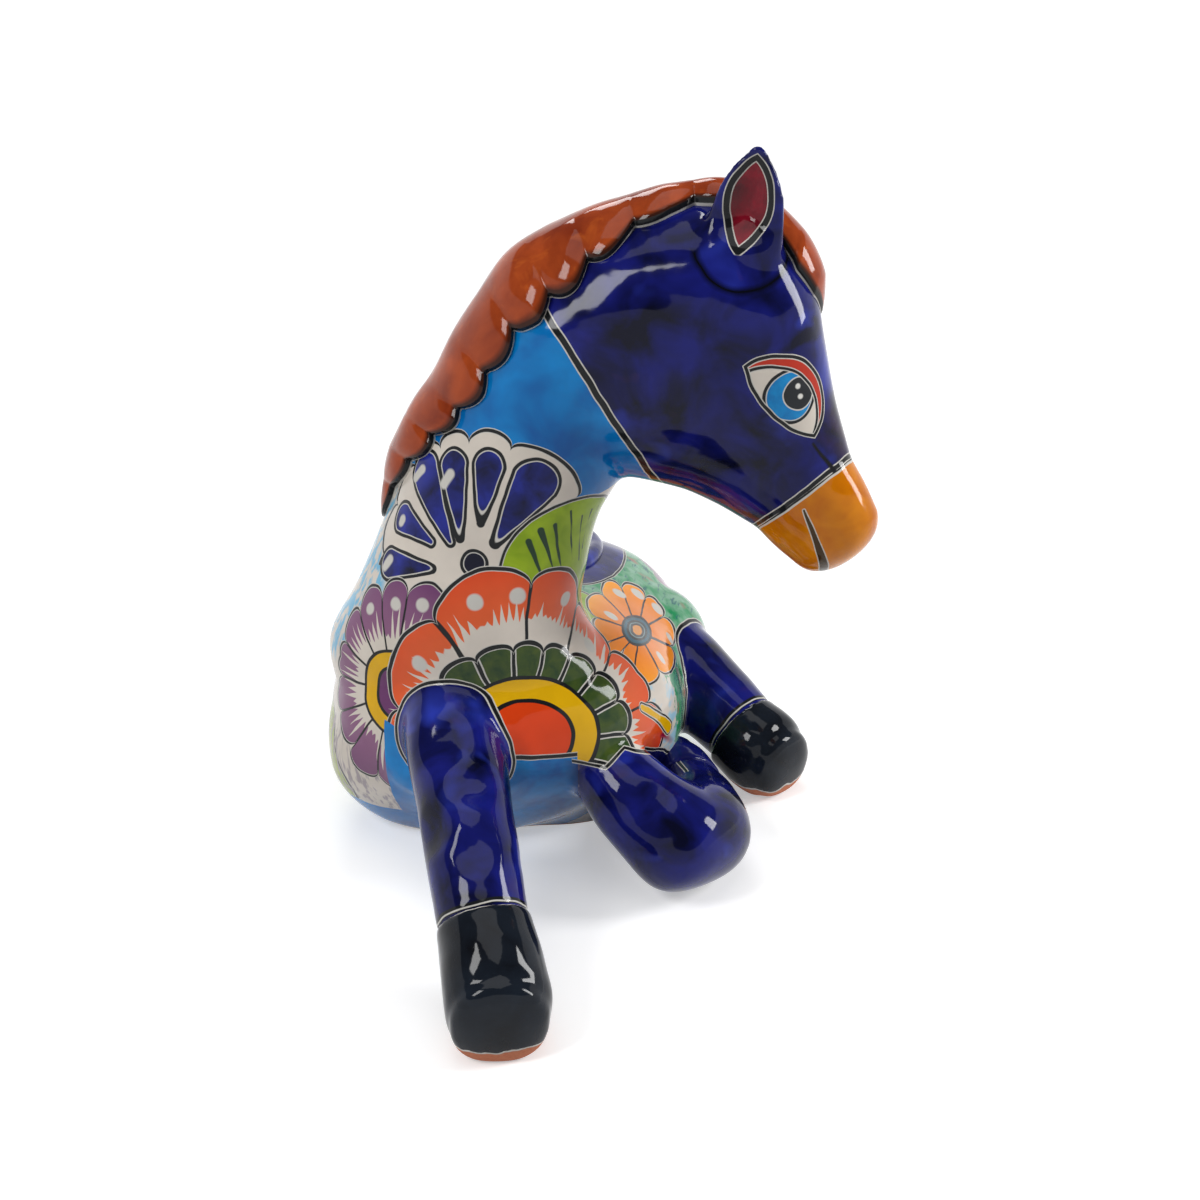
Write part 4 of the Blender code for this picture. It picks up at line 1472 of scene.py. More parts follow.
@dataclass
class CrestBand:
    """A lumpy band of clay hair laid over the crest, with a scalloped edge; lengths in millimetres.

    Attributes:
        spreads: Station along the neck, and how far the band reaches down each side, in degrees.
        lobes: Station, and how many lobes come before it.
        scallop: Depth of the lobes, in degrees.
        tapers_up: Whether it thins at its upper end, not its lower one.
    """

    EDGE: ClassVar[str] = "edge_share"
    name: str
    head: NeckAndHead
    spreads: tuple[tuple[float, float], ...]
    lobes: tuple[tuple[float, float], ...]
    thick: float
    scallop: float
    tapers_up: bool
    steps: int
    edge_thick: float = 2.4
    sink: float = 1.2
    wave: float = 1.6
    wave_pitch: float = 21.0
    taper_rate: float = 7.0
    turns: int = 28

    def build(self) -> Piece:
        """The band as a closed form, with how near each point is to its edge as an attribute."""
        sections = self.head.sections()
        first, last = self.spreads[0][0], self.spreads[-1][0]
        rows = []
        for k in range(self.steps + 1):
            station = first + (last - first) * k / self.steps
            section = section_at(sections, station)
            reach = (k + 0.5) / (self.steps + 0.5)
            fade = min(1.0, (reach if self.tapers_up else 1 + 0.5 / self.steps - reach) * self.taper_rate)
            fade = math.sqrt(fade)
            lobe = abs(math.sin(math.pi * value_at(self.lobes, station)))
            edge = value_at(self.spreads, station) + self.scallop * (lobe ** 0.7 - 0.6)
            row = []
            for j in range(self.turns + 1):
                share = 2 * j / self.turns - 1
                place = section.point(math.radians(edge * share)) / (self.wave_pitch * MM)
                roll = noise.noise(place) + 0.6 * (lobe - 0.6) * share * share
                back = (self.thick + self.wave * roll) * fade
                rim = min(self.edge_thick, back * 0.6)
                lift = rim + (back - rim) * (1 - abs(share) ** 2.4)
                row.append(section.point(math.radians(edge * share), lift * MM + 0.3 * MM))
            for j in range(self.turns, -1, -1):
                share = 2 * j / self.turns - 1
                row.append(section.point(math.radians(edge * share), -self.sink * MM))
            rows.append(row)
        clay = bmesh.new()
        edge_share = clay.verts.layers.float.new(self.EDGE)
        for row in add_loft(clay, rows):
            for j, vert in enumerate(row):
                vert[edge_share] = abs(2 * j / self.turns - 1) if j <= self.turns else 1.2
        made = mesh_object(self.name, clay)
        bevel = made.modifiers.new("soft_edge", "BEVEL")
        bevel.width = 0.8 * MM
        bevel.segments = 2
        bevel.limit_method = "ANGLE"
        bevel.angle_limit = math.radians(50)
        settle(made)
        made.data.shade_smooth()
        return made


def coil_tree() -> bpy.types.NodeTree:
    """The tree that rolls a coil of clay along a path: thick and thin by hand, grooved with a comb."""
    tree = bpy.data.node_groups.new("coil_along_a_path", "GeometryNodeTree")
    for name, kind in (("Path", "Geometry"), ("Along", "Int"), ("Around", "Int"),
                       ("Grooves", "Float"), ("Groove Depth", "Float"), ("Thinning", "Float"),
                       ("Seed", "Float"), ("Glaze", "Material")):
        tree.interface.new_socket(name, in_out="INPUT", socket_type="NodeSocket" + kind)
    tree.interface.new_socket("Coil", in_out="OUTPUT", socket_type="NodeSocketGeometry")
    add = Graph(tree).add
    given = add("NodeGroupInput").node.outputs
    line = add("GeometryNodeMeshToCurve", given["Path"])
    line = add("GeometryNodeResampleCurve", line, None, given["Along"])
    place = add("GeometryNodeInputPosition")
    uneven = add(NOISE, place, given["Seed"], 45.0, 1.0, noise_dimensions="4D")
    lost = add(Sum.TIMES, uneven, given["Thinning"])
    radius = add("GeometryNodeInputNamedAttribute", Coil.RADIUS, data_type="FLOAT")
    radius = add(Sum.MINUS, radius, add(Sum.TIMES, radius, lost))
    ring = add("GeometryNodeCurvePrimitiveCircle", given["Around"])
    x, y, _ = add("ShaderNodeSeparateXYZ", place).node.outputs
    turn = add(Sum.TIMES, add(Sum.ANGLE, y, x), given["Grooves"])
    dip = add(Sum.TIMES_PLUS, add(Sum.COSINE, turn), 0.5, -0.5)
    dip = add(Sum.TIMES, dip, given["Groove Depth"])
    groove = add(Sum.SCALE, place, None, None, dip)
    ring = add("GeometryNodeSetPosition", ring, None, None, groove)
    coil = add("GeometryNodeSetShadeSmooth", add("GeometryNodeCurveToMesh", line, ring, radius, True))
    coil = add("GeometryNodeRealizeInstances", coil)
    add("NodeGroupOutput", add("GeometryNodeSetMaterial", coil, None, given["Glaze"]))
    return tree


@dataclass
class Coil:
    """A coil of clay laid along a path, for the rolled lip and for the tail.

    Attributes:
        path: Middle points with radii, in millimetres.
        closed: Whether it is a loop.
        along: How many points it has along its path.
        grooves: How many grooves are combed along it.
        groove_depth: Their depth as a share of its radius.
        thinning: How much of its radius it loses in places.
    """

    RADIUS: ClassVar[str] = "coil_radius"
    name: str
    path: Path3
    closed: bool
    along: int
    grooves: int = 0
    groove_depth: float = 0.0
    around: int = 48
    thinning: float = 0.12
    seed: float = 3.0

    def build(self, tree: bpy.types.NodeTree, glaze: Finish) -> Piece:
        """Rolls the coil.

        Args:
            tree: The tree of coil_tree.
            glaze: Its finish.

        Returns:
            The finished coil.
        """
        clay = bmesh.new()
        radius = clay.verts.layers.float.new(self.RADIUS)
        verts = []
        for place, size in self.path:
            verts.append(clay.verts.new(Vector(place) * MM))
            verts[-1][radius] = size * MM
        for start, end in zip(verts, verts[1:] + verts[:1] if self.closed else verts[1:]):
            clay.edges.new((start, end))
        made = mesh_object(self.name, clay)
        coil = made.modifiers.new("coil", "NODES")
        coil.node_group = tree
        values = {"Along": self.along, "Around": self.around, "Grooves": float(self.grooves),
                  "Groove Depth": self.groove_depth, "Thinning": self.thinning, "Seed": self.seed,
                  "Glaze": glaze}
        for item in tree.interface.items_tree:
            if item.name in values:
                coil[item.identifier] = values[item.name]
        settle(made)
        clay = bmesh.new()
        clay.from_mesh(made.data)
        bmesh.ops.recalc_face_normals(clay, faces=clay.faces)
        clay.to_mesh(made.data)
        clay.free()
        return made


def rolled_lip(barrel: Barrel, radius: float = 4.5, overhang: float = 2.0, count: int = 56) -> Path3:
    """The path of the lip round the planting mouth, which follows the barrel's back.

    Args:
        barrel: The barrel.
        radius: The lip's radius in millimetres.
        overhang: How far it leans into the mouth.
        count: How many points.

    Returns:
        Places with radii.
    """
    path = []
    for turn in (2 * math.pi * k / count for k in range(count)):
        x = barrel.mouth[0] + (barrel.mouth_half[0] + radius - overhang) * math.cos(turn)
        y = barrel.mouth[1] + (barrel.mouth_half[1] + radius - overhang) * math.sin(turn)
        path.append(((x, y, barrel.top(x * MM, y * MM) / MM), radius))
    return tuple(path)


# How far the hair reaches down each side, in degrees, and how many lobes it has, by station
MANE_SPREADS = ((2.8, 10), (3.5, 22), (4, 38), (4.6, 47), (5.2, 55), (6.3, 59), (7.2, 53),
                (8, 42), (9, 26), (10.05, 17))
MANE_LOBES = ((2.8, 0), (6, 6.2), (8, 8.6), (10.05, 10.7))
FORELOCK_SPREADS = ((10.12, 18), (10.8, 26), (11.5, 34), (12.1, 26), (12.6, 10))
FORELOCK_LOBES = ((10.12, 0), (12.6, 2))

TAIL: Path3 = (
    ((-12, 98, 54), 9), ((-2, 109, 49), 11), ((16, 112, 40), 12),
    ((36, 105, 28), 12.5), ((52, 92, 18), 12), ((64, 78, 12), 10),
    ((70, 66, 9), 5))


def curled_tail() -> Path3:
    """The tail's path with its radii, smoothed and rounded at its tip, in millimetres."""
    run = refined(tube_sections(TAIL), 6)
    way = (run[-1].middle - run[-2].middle).normalized()
    run += rounded_end(run[-1], way, run[-1].side.length * 0.6, 6)
    return tuple((tuple(section.middle / MM), section.side.length / MM) for section in run)


@dataclass(frozen=True)
class CobaltGlaze:
    """Cobalt-blue tin glaze, dipped: it pools almost black in the hollows and thins on the ridges.

    Pools, thin places and iron blush are given by their size in millimetres, the wiped foot by its height
    and softness.
    """

    pool: float = 20.0
    thin: float = 24.0
    blush: float = 26.0
    line: float = 1.0
    foot: tuple[float, float] = (0.9, 0.6)

    def coat(self, brush: Brush) -> Value:
        """The glaze's colour, with its pale places and its brown blush.

        Args:
            brush: The finish that it goes into.

        Returns:
            The colour.
        """
        blue = brush.mottled(COBALT_DEEP, COBALT, self.pool, 1.3)
        blue = brush.add(MIX, brush.clouds(self.thin, 4.0, 2.3, swirl=0.4), blue, linear(COBALT_PALE))
        return brush.add(MIX, brush.clouds(self.blush, 4.0, 2.6, swirl=0.6), blue, linear(IRON_BLUSH))

    def fire(self, name: str, limb: Limb | None = None) -> Finish:
        """The finish of a leg or a rim.

        Args:
            name: The material's name.
            limb: A leg that gets the pale line where the hoof's black meets its blue.

        Returns:
            The material.
        """
        brush = Brush(name, COBALT)
        brush.colour = self.coat(brush)
        if limb:
            gap = brush.beyond(tuple(limb.seam().middle / MM), limb.seam_way())
            brush.stroke(gap, self.line * 2.2, INK, at=-self.line)
            brush.stroke(gap, self.line * 0.6, HALO, at=-0.6)
        return brush.fire(bare=brush.inside(brush.axes[2], *self.foot))


@dataclass(frozen=True)
class BlackGlaze:
    """Manganese-black glaze, brushed over the hooves: a deep, faintly green black over a wiped foot.

    Attributes:
        wipe: Waves of the wiped edge to the millimetre, and their height.
        foot: Height of the bare clay over the waves.
        rim: Where the pale line at the leg runs, and its width.
    """

    pool: float = 17.0
    wipe: tuple[float, float] = (0.09, 6.0)
    foot: float = 4.2
    rim: tuple[float, float] = (0.9, 0.4)

    def fire(self, name: str, limb: Limb) -> Finish:
        """The finish of a hoof.

        Args:
            name: The material's name.
            limb: The leg that it belongs to.

        Returns:
            The material.
        """
        brush = Brush(name, HOOF)
        brush.colour = brush.mottled(HOOF, HOOF_PALE, self.pool, 0.7)
        wave = brush.add(NOISE, brush.place, None, self.wipe[0], 2.0)
        foot = brush.add(Sum.TIMES_PLUS, wave, -self.wipe[1], brush.axes[2])
        brush.stroke(foot, 0.8, HALO, at=self.foot + 0.4)
        gap = brush.beyond(tuple(limb.seam().middle / MM), limb.seam_way())
        brush.stroke(gap, self.rim[1], HALO, at=self.rim[0])
        return brush.fire(bare=brush.inside(foot, self.foot, 0.5))


@dataclass(frozen=True)
class RussetGlaze:
    """Iron-red glaze, brushed on the hair: brown in the waves' hollows and orange on their backs, with
    painted shade along its edge.

    Attributes:
        borders: Share of the band left at each border line, its softness and its colour; the first is
            painted shade along the hair's edge.
    """

    pool: float = 19.0
    warm: float = 12.0
    borders: tuple[tuple[float, float, str], ...] = (
        (0.06, 0.06, RUSSET_EDGE_SHADE), (0.0, 0.03, INK), (-0.11, 0.02, HALO))

    def fire(self, name: str, edged: bool) -> Finish:
        """The finish of the mane, the forelock or the tail.

        Args:
            name: The material's name.
            edged: Whether the piece carries the edge attribute, along which its outline runs.

        Returns:
            The material.
        """
        brush = Brush(name, RUSSET)
        brush.colour = brush.mottled(RUSSET_DEEP, RUSSET, self.pool, 0.8)
        brush.lay(RUSSET_WARM, brush.clouds(self.warm, 4.0, 2.3, 3.0, 1.0))
        if edged:
            edge = brush.add("ShaderNodeAttribute", out="Fac", attribute_name=CrestBand.EDGE)
            short = brush.add(Sum.MINUS, 1.0, edge)
            # The first border is painted shade along the hair's edge; then the dark line and the pale rim
            for reach, soft, colour in self.borders:
                brush.fill(colour, short, reach, soft)
        return brush.fire(ripple=0.3)


@dataclass(frozen=True)
class AmberGlaze:
    """Iron-amber glaze, dipped, which looks like clear honey: the muzzle with its drawn mouth.

    The mouth is a stroke between two places, with half of its width at each, in millimetres.
    """

    mouth: tuple[Point, Point] = ((121.0, -52.0, 163.0), (131.0, -49.0, 137.0))
    half: tuple[float, float] = (0.35, 1.5)
    depth: float = 30.0
    pool: float = 15.0

    def fire(self, head: NeckAndHead) -> Finish:
        """The finish of the muzzle.

        Args:
            head: The neck and head.

        Returns:
            The material.
        """
        brush = Brush("majolica_glaze_amber_dipped", AMBER)
        brush.colour = brush.mottled(AMBER_DEEP, AMBER, self.pool, 0.8)
        seam = head.muzzle_sections()[0]
        both = brush.folded(tuple(seam.middle / MM), seam.side.normalized())
        sheet = Sheet(self.mouth[0], VIEW.back(), VIEW.up())
        plane, far = brush.flat(sheet, self.depth, both)
        start, end = (sheet.place(point) for point in self.mouth)
        line = brush.most(brush.drop(start, self.half[0], end, self.half[1], plane), far)
        brush.fill(HALO, line, 0.35)
        brush.fill(MOUTH_BROWN, line)
        gap = brush.beyond(tuple(seam.middle / MM), head.muzzle_way())
        brush.stroke(gap, 0.9, HALO, at=0.9)
        brush.stroke(gap, 1.2, at=0.0)
        return brush.fire()


@dataclass(frozen=True)
class Bisque:
    """Red earthenware, fired once and left unglazed inside the pot: matt, with the grit showing."""

    grit: float = 6.0
    roughness: float = 0.75
    ripple: float = 0.3

    def fire(self) -> Finish:
        """The finish of the planting space."""
        brush = Brush("red_earthenware_bisque", BARE_CLAY)
        brush.colour = brush.mottled(BISQUE_DEEP, BISQUE_PALE, self.grit, 0.9)
        return brush.fire(self.roughness, self.ripple, 0.1)


@dataclass(frozen=True)
class HeadGlaze:
    """The head's majolica: dipped cobalt, with eyes, ears and the neck's blue brushed on.

    Attributes:
        neck_line: How far the painted edge of the neck lies before its seam, in millimetres.
        eye: Middle of the eye.
        eye_face: Which way it faces.
        eye_arcs: Middle and radius of its upper arc, its lid and its lower arc, in its own plane.
        iris: Middle and radius of the iris, in the eye's plane, as for the pupil and for sparks, the
            painted highlights in the pupil.
        cheek_shade: Painted shade of the crease under the eye, as a stroke in its plane.
        ear_lens: Middle along the ear, half length and half width of its red field.
        ear_depth: How deep the red field reaches.
        ear_crease_shade: Radius of the painted shade in the crease round an ear's root, and its greatest
            height.
    """

    cobalt: CobaltGlaze
    neck_line: float = 11.0
    eye: Point = (111.8, -53.2, 207.7)
    eye_face: Vector = Vector((0.493, -0.861, 0.123))
    eye_arcs: tuple[tuple[float, float, float], ...] = (
        (-1.9, -4.7, 19.5), (-4.3, -8.8, 19.4), (18.8, 21.7, 36.4))
    iris: Spot = ((2.4, 0.1, 0.0), 9.9)
    pupil: Spot = ((5.4, 1.3, 0.0), 6.1)
    eye_glints: tuple[Spot, ...] = (((4.7, 4.0, 0.0), 1.0), ((6.3, 0.3, 0.0), 1.0))
    cheek_shade: Stroke = ((15.0, -17.5, 0.0), 0.6, (25.0, -28.0, 0.0), 1.0)
    ear_lens: tuple[float, float, float] = (19.5, 14.5, 7.0)
    ear_depth: float = 9.0
    ear_crease_shade: tuple[float, float] = (17.2, 256.0)

    def fire(self, head: NeckAndHead, ears: Sequence[Ear]) -> Finish:
        """The finish of the head.

        Args:
            head: The neck and head.
            ears: Both ears.

        Returns:
            The material.
        """
        brush = Brush("majolica_glaze_cobalt_head", COBALT)
        brush.colour = self.cobalt.coat(brush)
        seam = head.neck_seam()
        edge = brush.beyond(tuple(seam.middle / MM), seam.way(Vector((1, 0, 0))))
        brush.fill(brush.mottled(SKY_DEEP, SKY, 24.0), edge, self.neck_line)
        brush.outline(edge, 2.2, halo=1.0, at=self.neck_line)
        snout = head.muzzle_sections()[0]
        gap = brush.beyond(tuple(snout.middle / MM), head.muzzle_way())
        brush.outline(gap, 1.5, halo=0.9, at=-0.9)
        for ear in ears:
            self._ear(brush, ear)
        self._eye(brush, head)
        return brush.fire()

    def _ear(self, brush: Brush, ear: Ear) -> None:
        """Paints shade into the crease round an ear's root, and the red field in the ear's scoop.

        Args:
            brush: The head's finish.
            ear: The ear.
        """
        root, axis, _, deep = ear.frame()
        # Painted shade: a dark ring in the crease round the ear's root, up to a height
        reach, high = self.ear_crease_shade
        ring = brush.add(Sum.UNSIGNED, brush.spot(tuple(root / MM), reach))
        above = brush.add(Sum.MINUS, brush.axes[2], high)
        brush.fill(PAINTED_CREASE_SHADE, brush.most(ring, above), 1.0, 1.8)
        along, half, width = self.ear_lens
        middle = tuple((root + axis * along * MM) / MM)
        plane, far = brush.flat(Sheet(middle, deep, axis), self.ear_depth)
        radius = (half * half + width * width) / (2 * width)
        lens = brush.most(brush.spot((radius - width, 0, 0), radius, plane),
                          brush.spot((width - radius, 0, 0), radius, plane))
        normal = brush.add("ShaderNodeNewGeometry", out="Normal")
        turned = brush.add(Sum.ALONG, normal, tuple(deep))
        behind = brush.add(Sum.TIMES_PLUS, turned, -8.0, 2.0)
        clip = brush.most(behind, far)
        red = brush.mottled(CRIMSON_DEEP, CRIMSON, 9.0, 0.9)
        brush.fill(red, brush.most(lens, clip))
        brush.outline(lens, 2.1, clip, halo=0.8, at=1.0)

    def _eye(self, brush: Brush, head: NeckAndHead) -> None:
        """Paints both eyes.

        Args:
            brush: The head's finish.
            head: The neck and head.
        """
        brow = section_at(head.sections(), 11.5)
        both = brush.folded(tuple(brow.middle / MM), brow.side.normalized())
        plane, near = brush.flat(Sheet(self.eye, self.eye_face, VIEW.up()), 22.0, both)
        upper, lid, lower = (brush.spot((u, v, 0), radius, plane) for u, v, radius in self.eye_arcs)
        whole = brush.most(upper, lower, near)
        ball = brush.most(lid, lower, near)
        brush.fill(LID_RED, whole)
        brush.fill(CREAM, ball)
        iris = brush.spot(*self.iris, plane)
        brush.fill(brush.mottled(IRIS_DEEP, IRIS, 6.0), brush.most(iris, ball))
        brush.stroke(iris, 1.2, INK, within=ball)
        brush.stroke(iris, 0.4, HALO, at=-0.8, within=ball)
        pupil = brush.spot(*self.pupil, plane)
        brush.fill(PUPIL, brush.most(pupil, ball))
        brush.stroke(pupil, 0.5, HALO, within=ball)
        # Painted highlights: small white glints in the pupil
        for glint in self.eye_glints:
            brush.fill(PAINTED_EYE_GLINT, brush.most(brush.spot(*glint, plane), ball), 0, 0.5)
        brush.outline(ball, 1.0)
        brush.outline(whole, 1.2)
        # Painted shade along the crease under the eye
        crease = brush.drop(*self.cheek_shade, plane)
        brush.fill(PAINTED_CREASE_SHADE, brush.most(crease, near), 0, 0.8)


@dataclass(frozen=True)
class PaintedMajolica:
    """Majolica-style glaze: oxide colours brushed on a cream tin glaze between raised dark lines.

    The eye gets flat, even colour areas, thin pale rims where two glazes draw apart, and one gloss over
    all of them. Places are real ones on the skin, in millimetres. A stroke is where the brush is set down
    and half its width there, then the same where it is lifted.

    Attributes:
        neck_fold: Plane over which the neck's painting is folded to its far side.
        chest_leaf: Stroke of the small leaf beside the poppy.
        chest_tip: Stroke of its red tip.
        knee_line: Line that ends the flowers over the folded leg.
        leg_roots: Points of the legs from which their blue covers the body.
        base_top: Height of the blue base, and how much it falls towards the horse's left.
    """

    cobalt: CobaltGlaze
    neck_fold: tuple[Point, Vector] = ((0, -33.6, 152), Vector((0.084, -0.962, 0.259)))
    hub: Point = (-1, -76, 139.5)
    fan_face: Vector = Vector((0.098, -0.956, 0.276))
    fan_edge: Petals = Petals((32, 70, 91, 107, 125, 150, 180, 200), (52, 51.5, 51, 52, 50, 48, 46), 0.9)
    fan_drops: tuple[Stroke, ...] = (
        ((-18, -77, 136), 0.6, (-38, -68, 132), 5.6),
        ((-19, -72, 145), 0.8, (-34, -61, 149), 5.4),
        ((-11, -74, 147), 0.8, (-26, -59, 169), 7.4),
        ((-7, -75, 149), 0.8, (-12, -63, 174), 5.4),
        ((1, -73, 155), 0.8, (3, -66, 176), 5.6),
        ((7, -74, 148), 1.4, (21, -65, 170), 8.4),
    )
    fan_spots: tuple[tuple[Point, Point], ...] = (
        ((-40, -66, 129), (-38.5, -67, 133)), ((-34, -61, 147), (-34, -61, 148)),
        ((-29, -56, 164), (-26.5, -57, 168)), ((-15, -64, 166), (-12.5, -63, 170)))
    leaf: Spot = ((34, -55, 127.5), 33.5)
    leaf_veins: tuple[Stroke, ...] = (
        ((19, -68, 147), 1.3, (23, -67, 133), 0.4), ((23, -65, 151), 1.4, (27, -63, 134), 0.4),
        ((28, -62, 152), 1.1, (29, -59, 132), 0.4), ((33, -57, 156), 0.6, (32, -54, 134), 0.4),
        ((36, -52, 152), 0.6, (34, -50, 132), 0.4), ((39, -47, 153), 0.6, (35, -48, 136), 0.4))
    poppy: Bloom = Bloom(
        (22.4, -90.2, 71.9), Vector((0.757, -0.571, 0.318)),
        Petals((-14, 13, 38, 64, 94, 126, 165, 200), (72, 60, 61, 68.5, 70, 62, 57), 0.87),
        (ORANGE_RED, ORANGE_PALE), ((29.5, YELLOW), (18.4, ORANGE_RED)), (46.5, 12, 118),
        Petals.even(18, 2, 46, 0.9), squeeze=1.2, line=1.5,
        spots=(((-22, -85, 98), 3.4), ((0, -80, 125), 3.2), ((15, -73, 126), 3.4), ((30, -57, 118), 3.2),
               ((39, -53, 96), 3.2)))
    violet: Bloom = Bloom(
        (-31.6, -85.4, 83.7), Vector((-0.502, -0.838, 0.212)),
        Petals((-142, -120, -96, -72, -48, -24, 0, 24, 48, 72, 92, 115, 140, 170, 194, 218),
               (45, 45, 45, 45, 45, 45, 45, 45, 50, 46, 44, 39, 34, 43, 41), 0.84),
        (PURPLE, PURPLE_PALE), ((17.5, YELLOW), (10.5, PURPLE)), (23, 15, 64), line=1.1,
        spots=(((-46, -72, 113), 2.4), ((-33, -77, 119), 2.6), ((-21, -81, 122), 2.9)))
    marigold: Bloom = Bloom(
        (50.6, -11.6, 81.6), VIEW.back(),
        Petals((-130, -95, -62, -27, 22, 72, 109, 134, 162, 200, 230),
               (16, 23, 23, 19.5, 18, 21.5, 26, 25, 18, 16), 0.78),
        (ORANGE_YELLOW, ORANGE_DEEP), ((6.6, TEAL), (4.2, TEAL_PALE), (2.8, OCHRE)), depth=0.2, line=0.9,
        spots=(((37, 17, 83), 3.6), ((43, 29, 77), 3.6), ((40, -15, 89), 3.4), ((52, 30, 70), 3.4),
               ((60, 17, 63), 3.2), ((62, -16, 72), 3.2)))
    hidden_blooms: tuple[Bloom, ...] = (
        Bloom((-74, 2, 48), Vector((-1, 0, 0.3)), Petals.even(9, 10, 31, 0.84),
              (ORANGE_RED, ORANGE_PALE), ((13, YELLOW), (7, PURPLE)), (16, 9, 50)),
        Bloom((-44, 84, 52), Vector((-0.7, 0.75, 0.35)), Petals.even(8, 0, 25, 0.84),
              (ORANGE_YELLOW, ORANGE_PETAL), ((7, TEAL), (3, OCHRE)), line=0.9),
        Bloom((50, 82, 50), Vector((0.7, 0.75, 0.35)), Petals.even(10, 20, 27, 0.84),
              (PURPLE, PURPLE_PALE), ((11, YELLOW), (6, SKY_DEEP)), (14, 9, 44)),
    )
    chest_leaf: Stroke = ((61, -52, 69), 1.8, (69.5, -33, 48), 3)
    chest_tip: Stroke = ((67, -40, 49), 1.2, (72, -28, 38), 2.4)
    knee_line: tuple[Point, ...] = ((38, -83, 60), (51, -80, 56), (57, -71, 60.5),
                                    (67, -33, 37), (81, -49, 36))
    leg_roots: tuple[Point, ...] = ((-9, -87, 70), (84, -48, 18.5), (62, 34, 37),
                                    (-62, 50, 36), (-72, 36, 26))
    low_leaf: Spot = ((-66, -50, 34), 27)
    blue_neck: Block = ((None, None, 160), OPEN)
    rear_ground: Block = ((None, -24, None), OPEN)
    right_ground: Block = ((None, -48, None), (-56, None, None))
    high_wash: Block = ((None, None, 84), (-40, None, None))
    chest_wash: Block = ((46, None, None), (None, -24, None))
    low_wash: Block = (OPEN, (None, -55, 60))
    base_top: tuple[float, float] = (67.5, 0.13)
    base_side: Block = ((-37, None, None), (None, -50, None))
    base_skirt: Block = (OPEN, (None, -45, 20))
    mouth_field: Block = ((None, -8, 62), (None, None, 101))
    mouth_band: float = 20.0

    def fire(self, barrel: Barrel, limbs: Sequence[Limb]) -> Finish:
        """The finish of barrel, neck and leg roots.

        Args:
            barrel: The barrel, for the band round its mouth.
            limbs: The legs, for the cobalt that runs up over their roots.

        Returns:
            The material.
        """
        brush = Brush("majolica_glaze_hand_brushed", CREAM)
        self._grounds(brush)
        self._neck(brush)
        self._strokes(brush, STREAK_GREY, brush.streaked((1.0, 1.0, 0.12), 2.6, 0.5), self.low_wash, 3.0)
        for bloom in (self.marigold, *self.hidden_blooms, self.violet, self.poppy):
            bloom.paint(brush)
        self._chest(brush)
        self._foot(brush)
        self._mouth(brush, barrel)
        self._legs(brush, limbs)
        return brush.fire(bare=brush.inside(brush.axes[2], 0.7, 0.5))

    def _grounds(self, brush: Brush) -> None:
        """Paints the grounds: cream before, green with pink clouds behind, strokes on the right.

        Args:
            brush: The body's finish.
        """
        rear = brush.least(brush.block(*self.rear_ground), brush.block(*self.right_ground))
        ragged = brush.add(NOISE, brush.place, None, 1 / 7.0, 3.0, 0.7)
        rear = brush.add(Sum.TIMES_PLUS, ragged, 26.0, rear)
        rear = brush.add(Sum.MINUS, rear, 13.0)
        brush.fill(brush.mottled(LEAF_GREEN, PALE_GREEN, 8.0, 1.6), rear, 0, 1.5)
        cloud = brush.add(Sum.TIMES, brush.clouds(15.0, 9.0, 5.4), brush.inside(rear, -3.0, 3.0))
        brush.lay(PINK_CLOUD, cloud)
        grass = brush.streaked((1.0, 0.25, 1.0), 2.0, 0.56)
        grass = brush.add(Sum.TIMES, grass, brush.inside(rear, -6.0, 3.0))
        brush.lay(TEAL, brush.add(Sum.TIMES, grass, 0.7))
        self._strokes(brush, SKY_PALE, brush.streaked((1.0, 1.0, 0.2), 3.4, 0.44), self.high_wash, 4.0)
        low = brush.spot(*self.low_leaf)
        brush.fill(brush.mottled(LIME_PALE, OLIVE_PALE, 9.0), low)
        brush.outline(low, 1.0)
        self._strokes(brush, SKY_WASH, brush.streaked((0.5, 0.2, 0.5), 3.0, 0.46), self.chest_wash, 3.0)

    def _strokes(self, brush: Brush, colour: str, strokes: Value, where: Block, soft: float) -> None:
        """Lays dry strokes in a block of the body; they fade at its sides."""
        brush.lay(colour, brush.add(Sum.TIMES, strokes, brush.inside(brush.block(*where), 0, soft)))

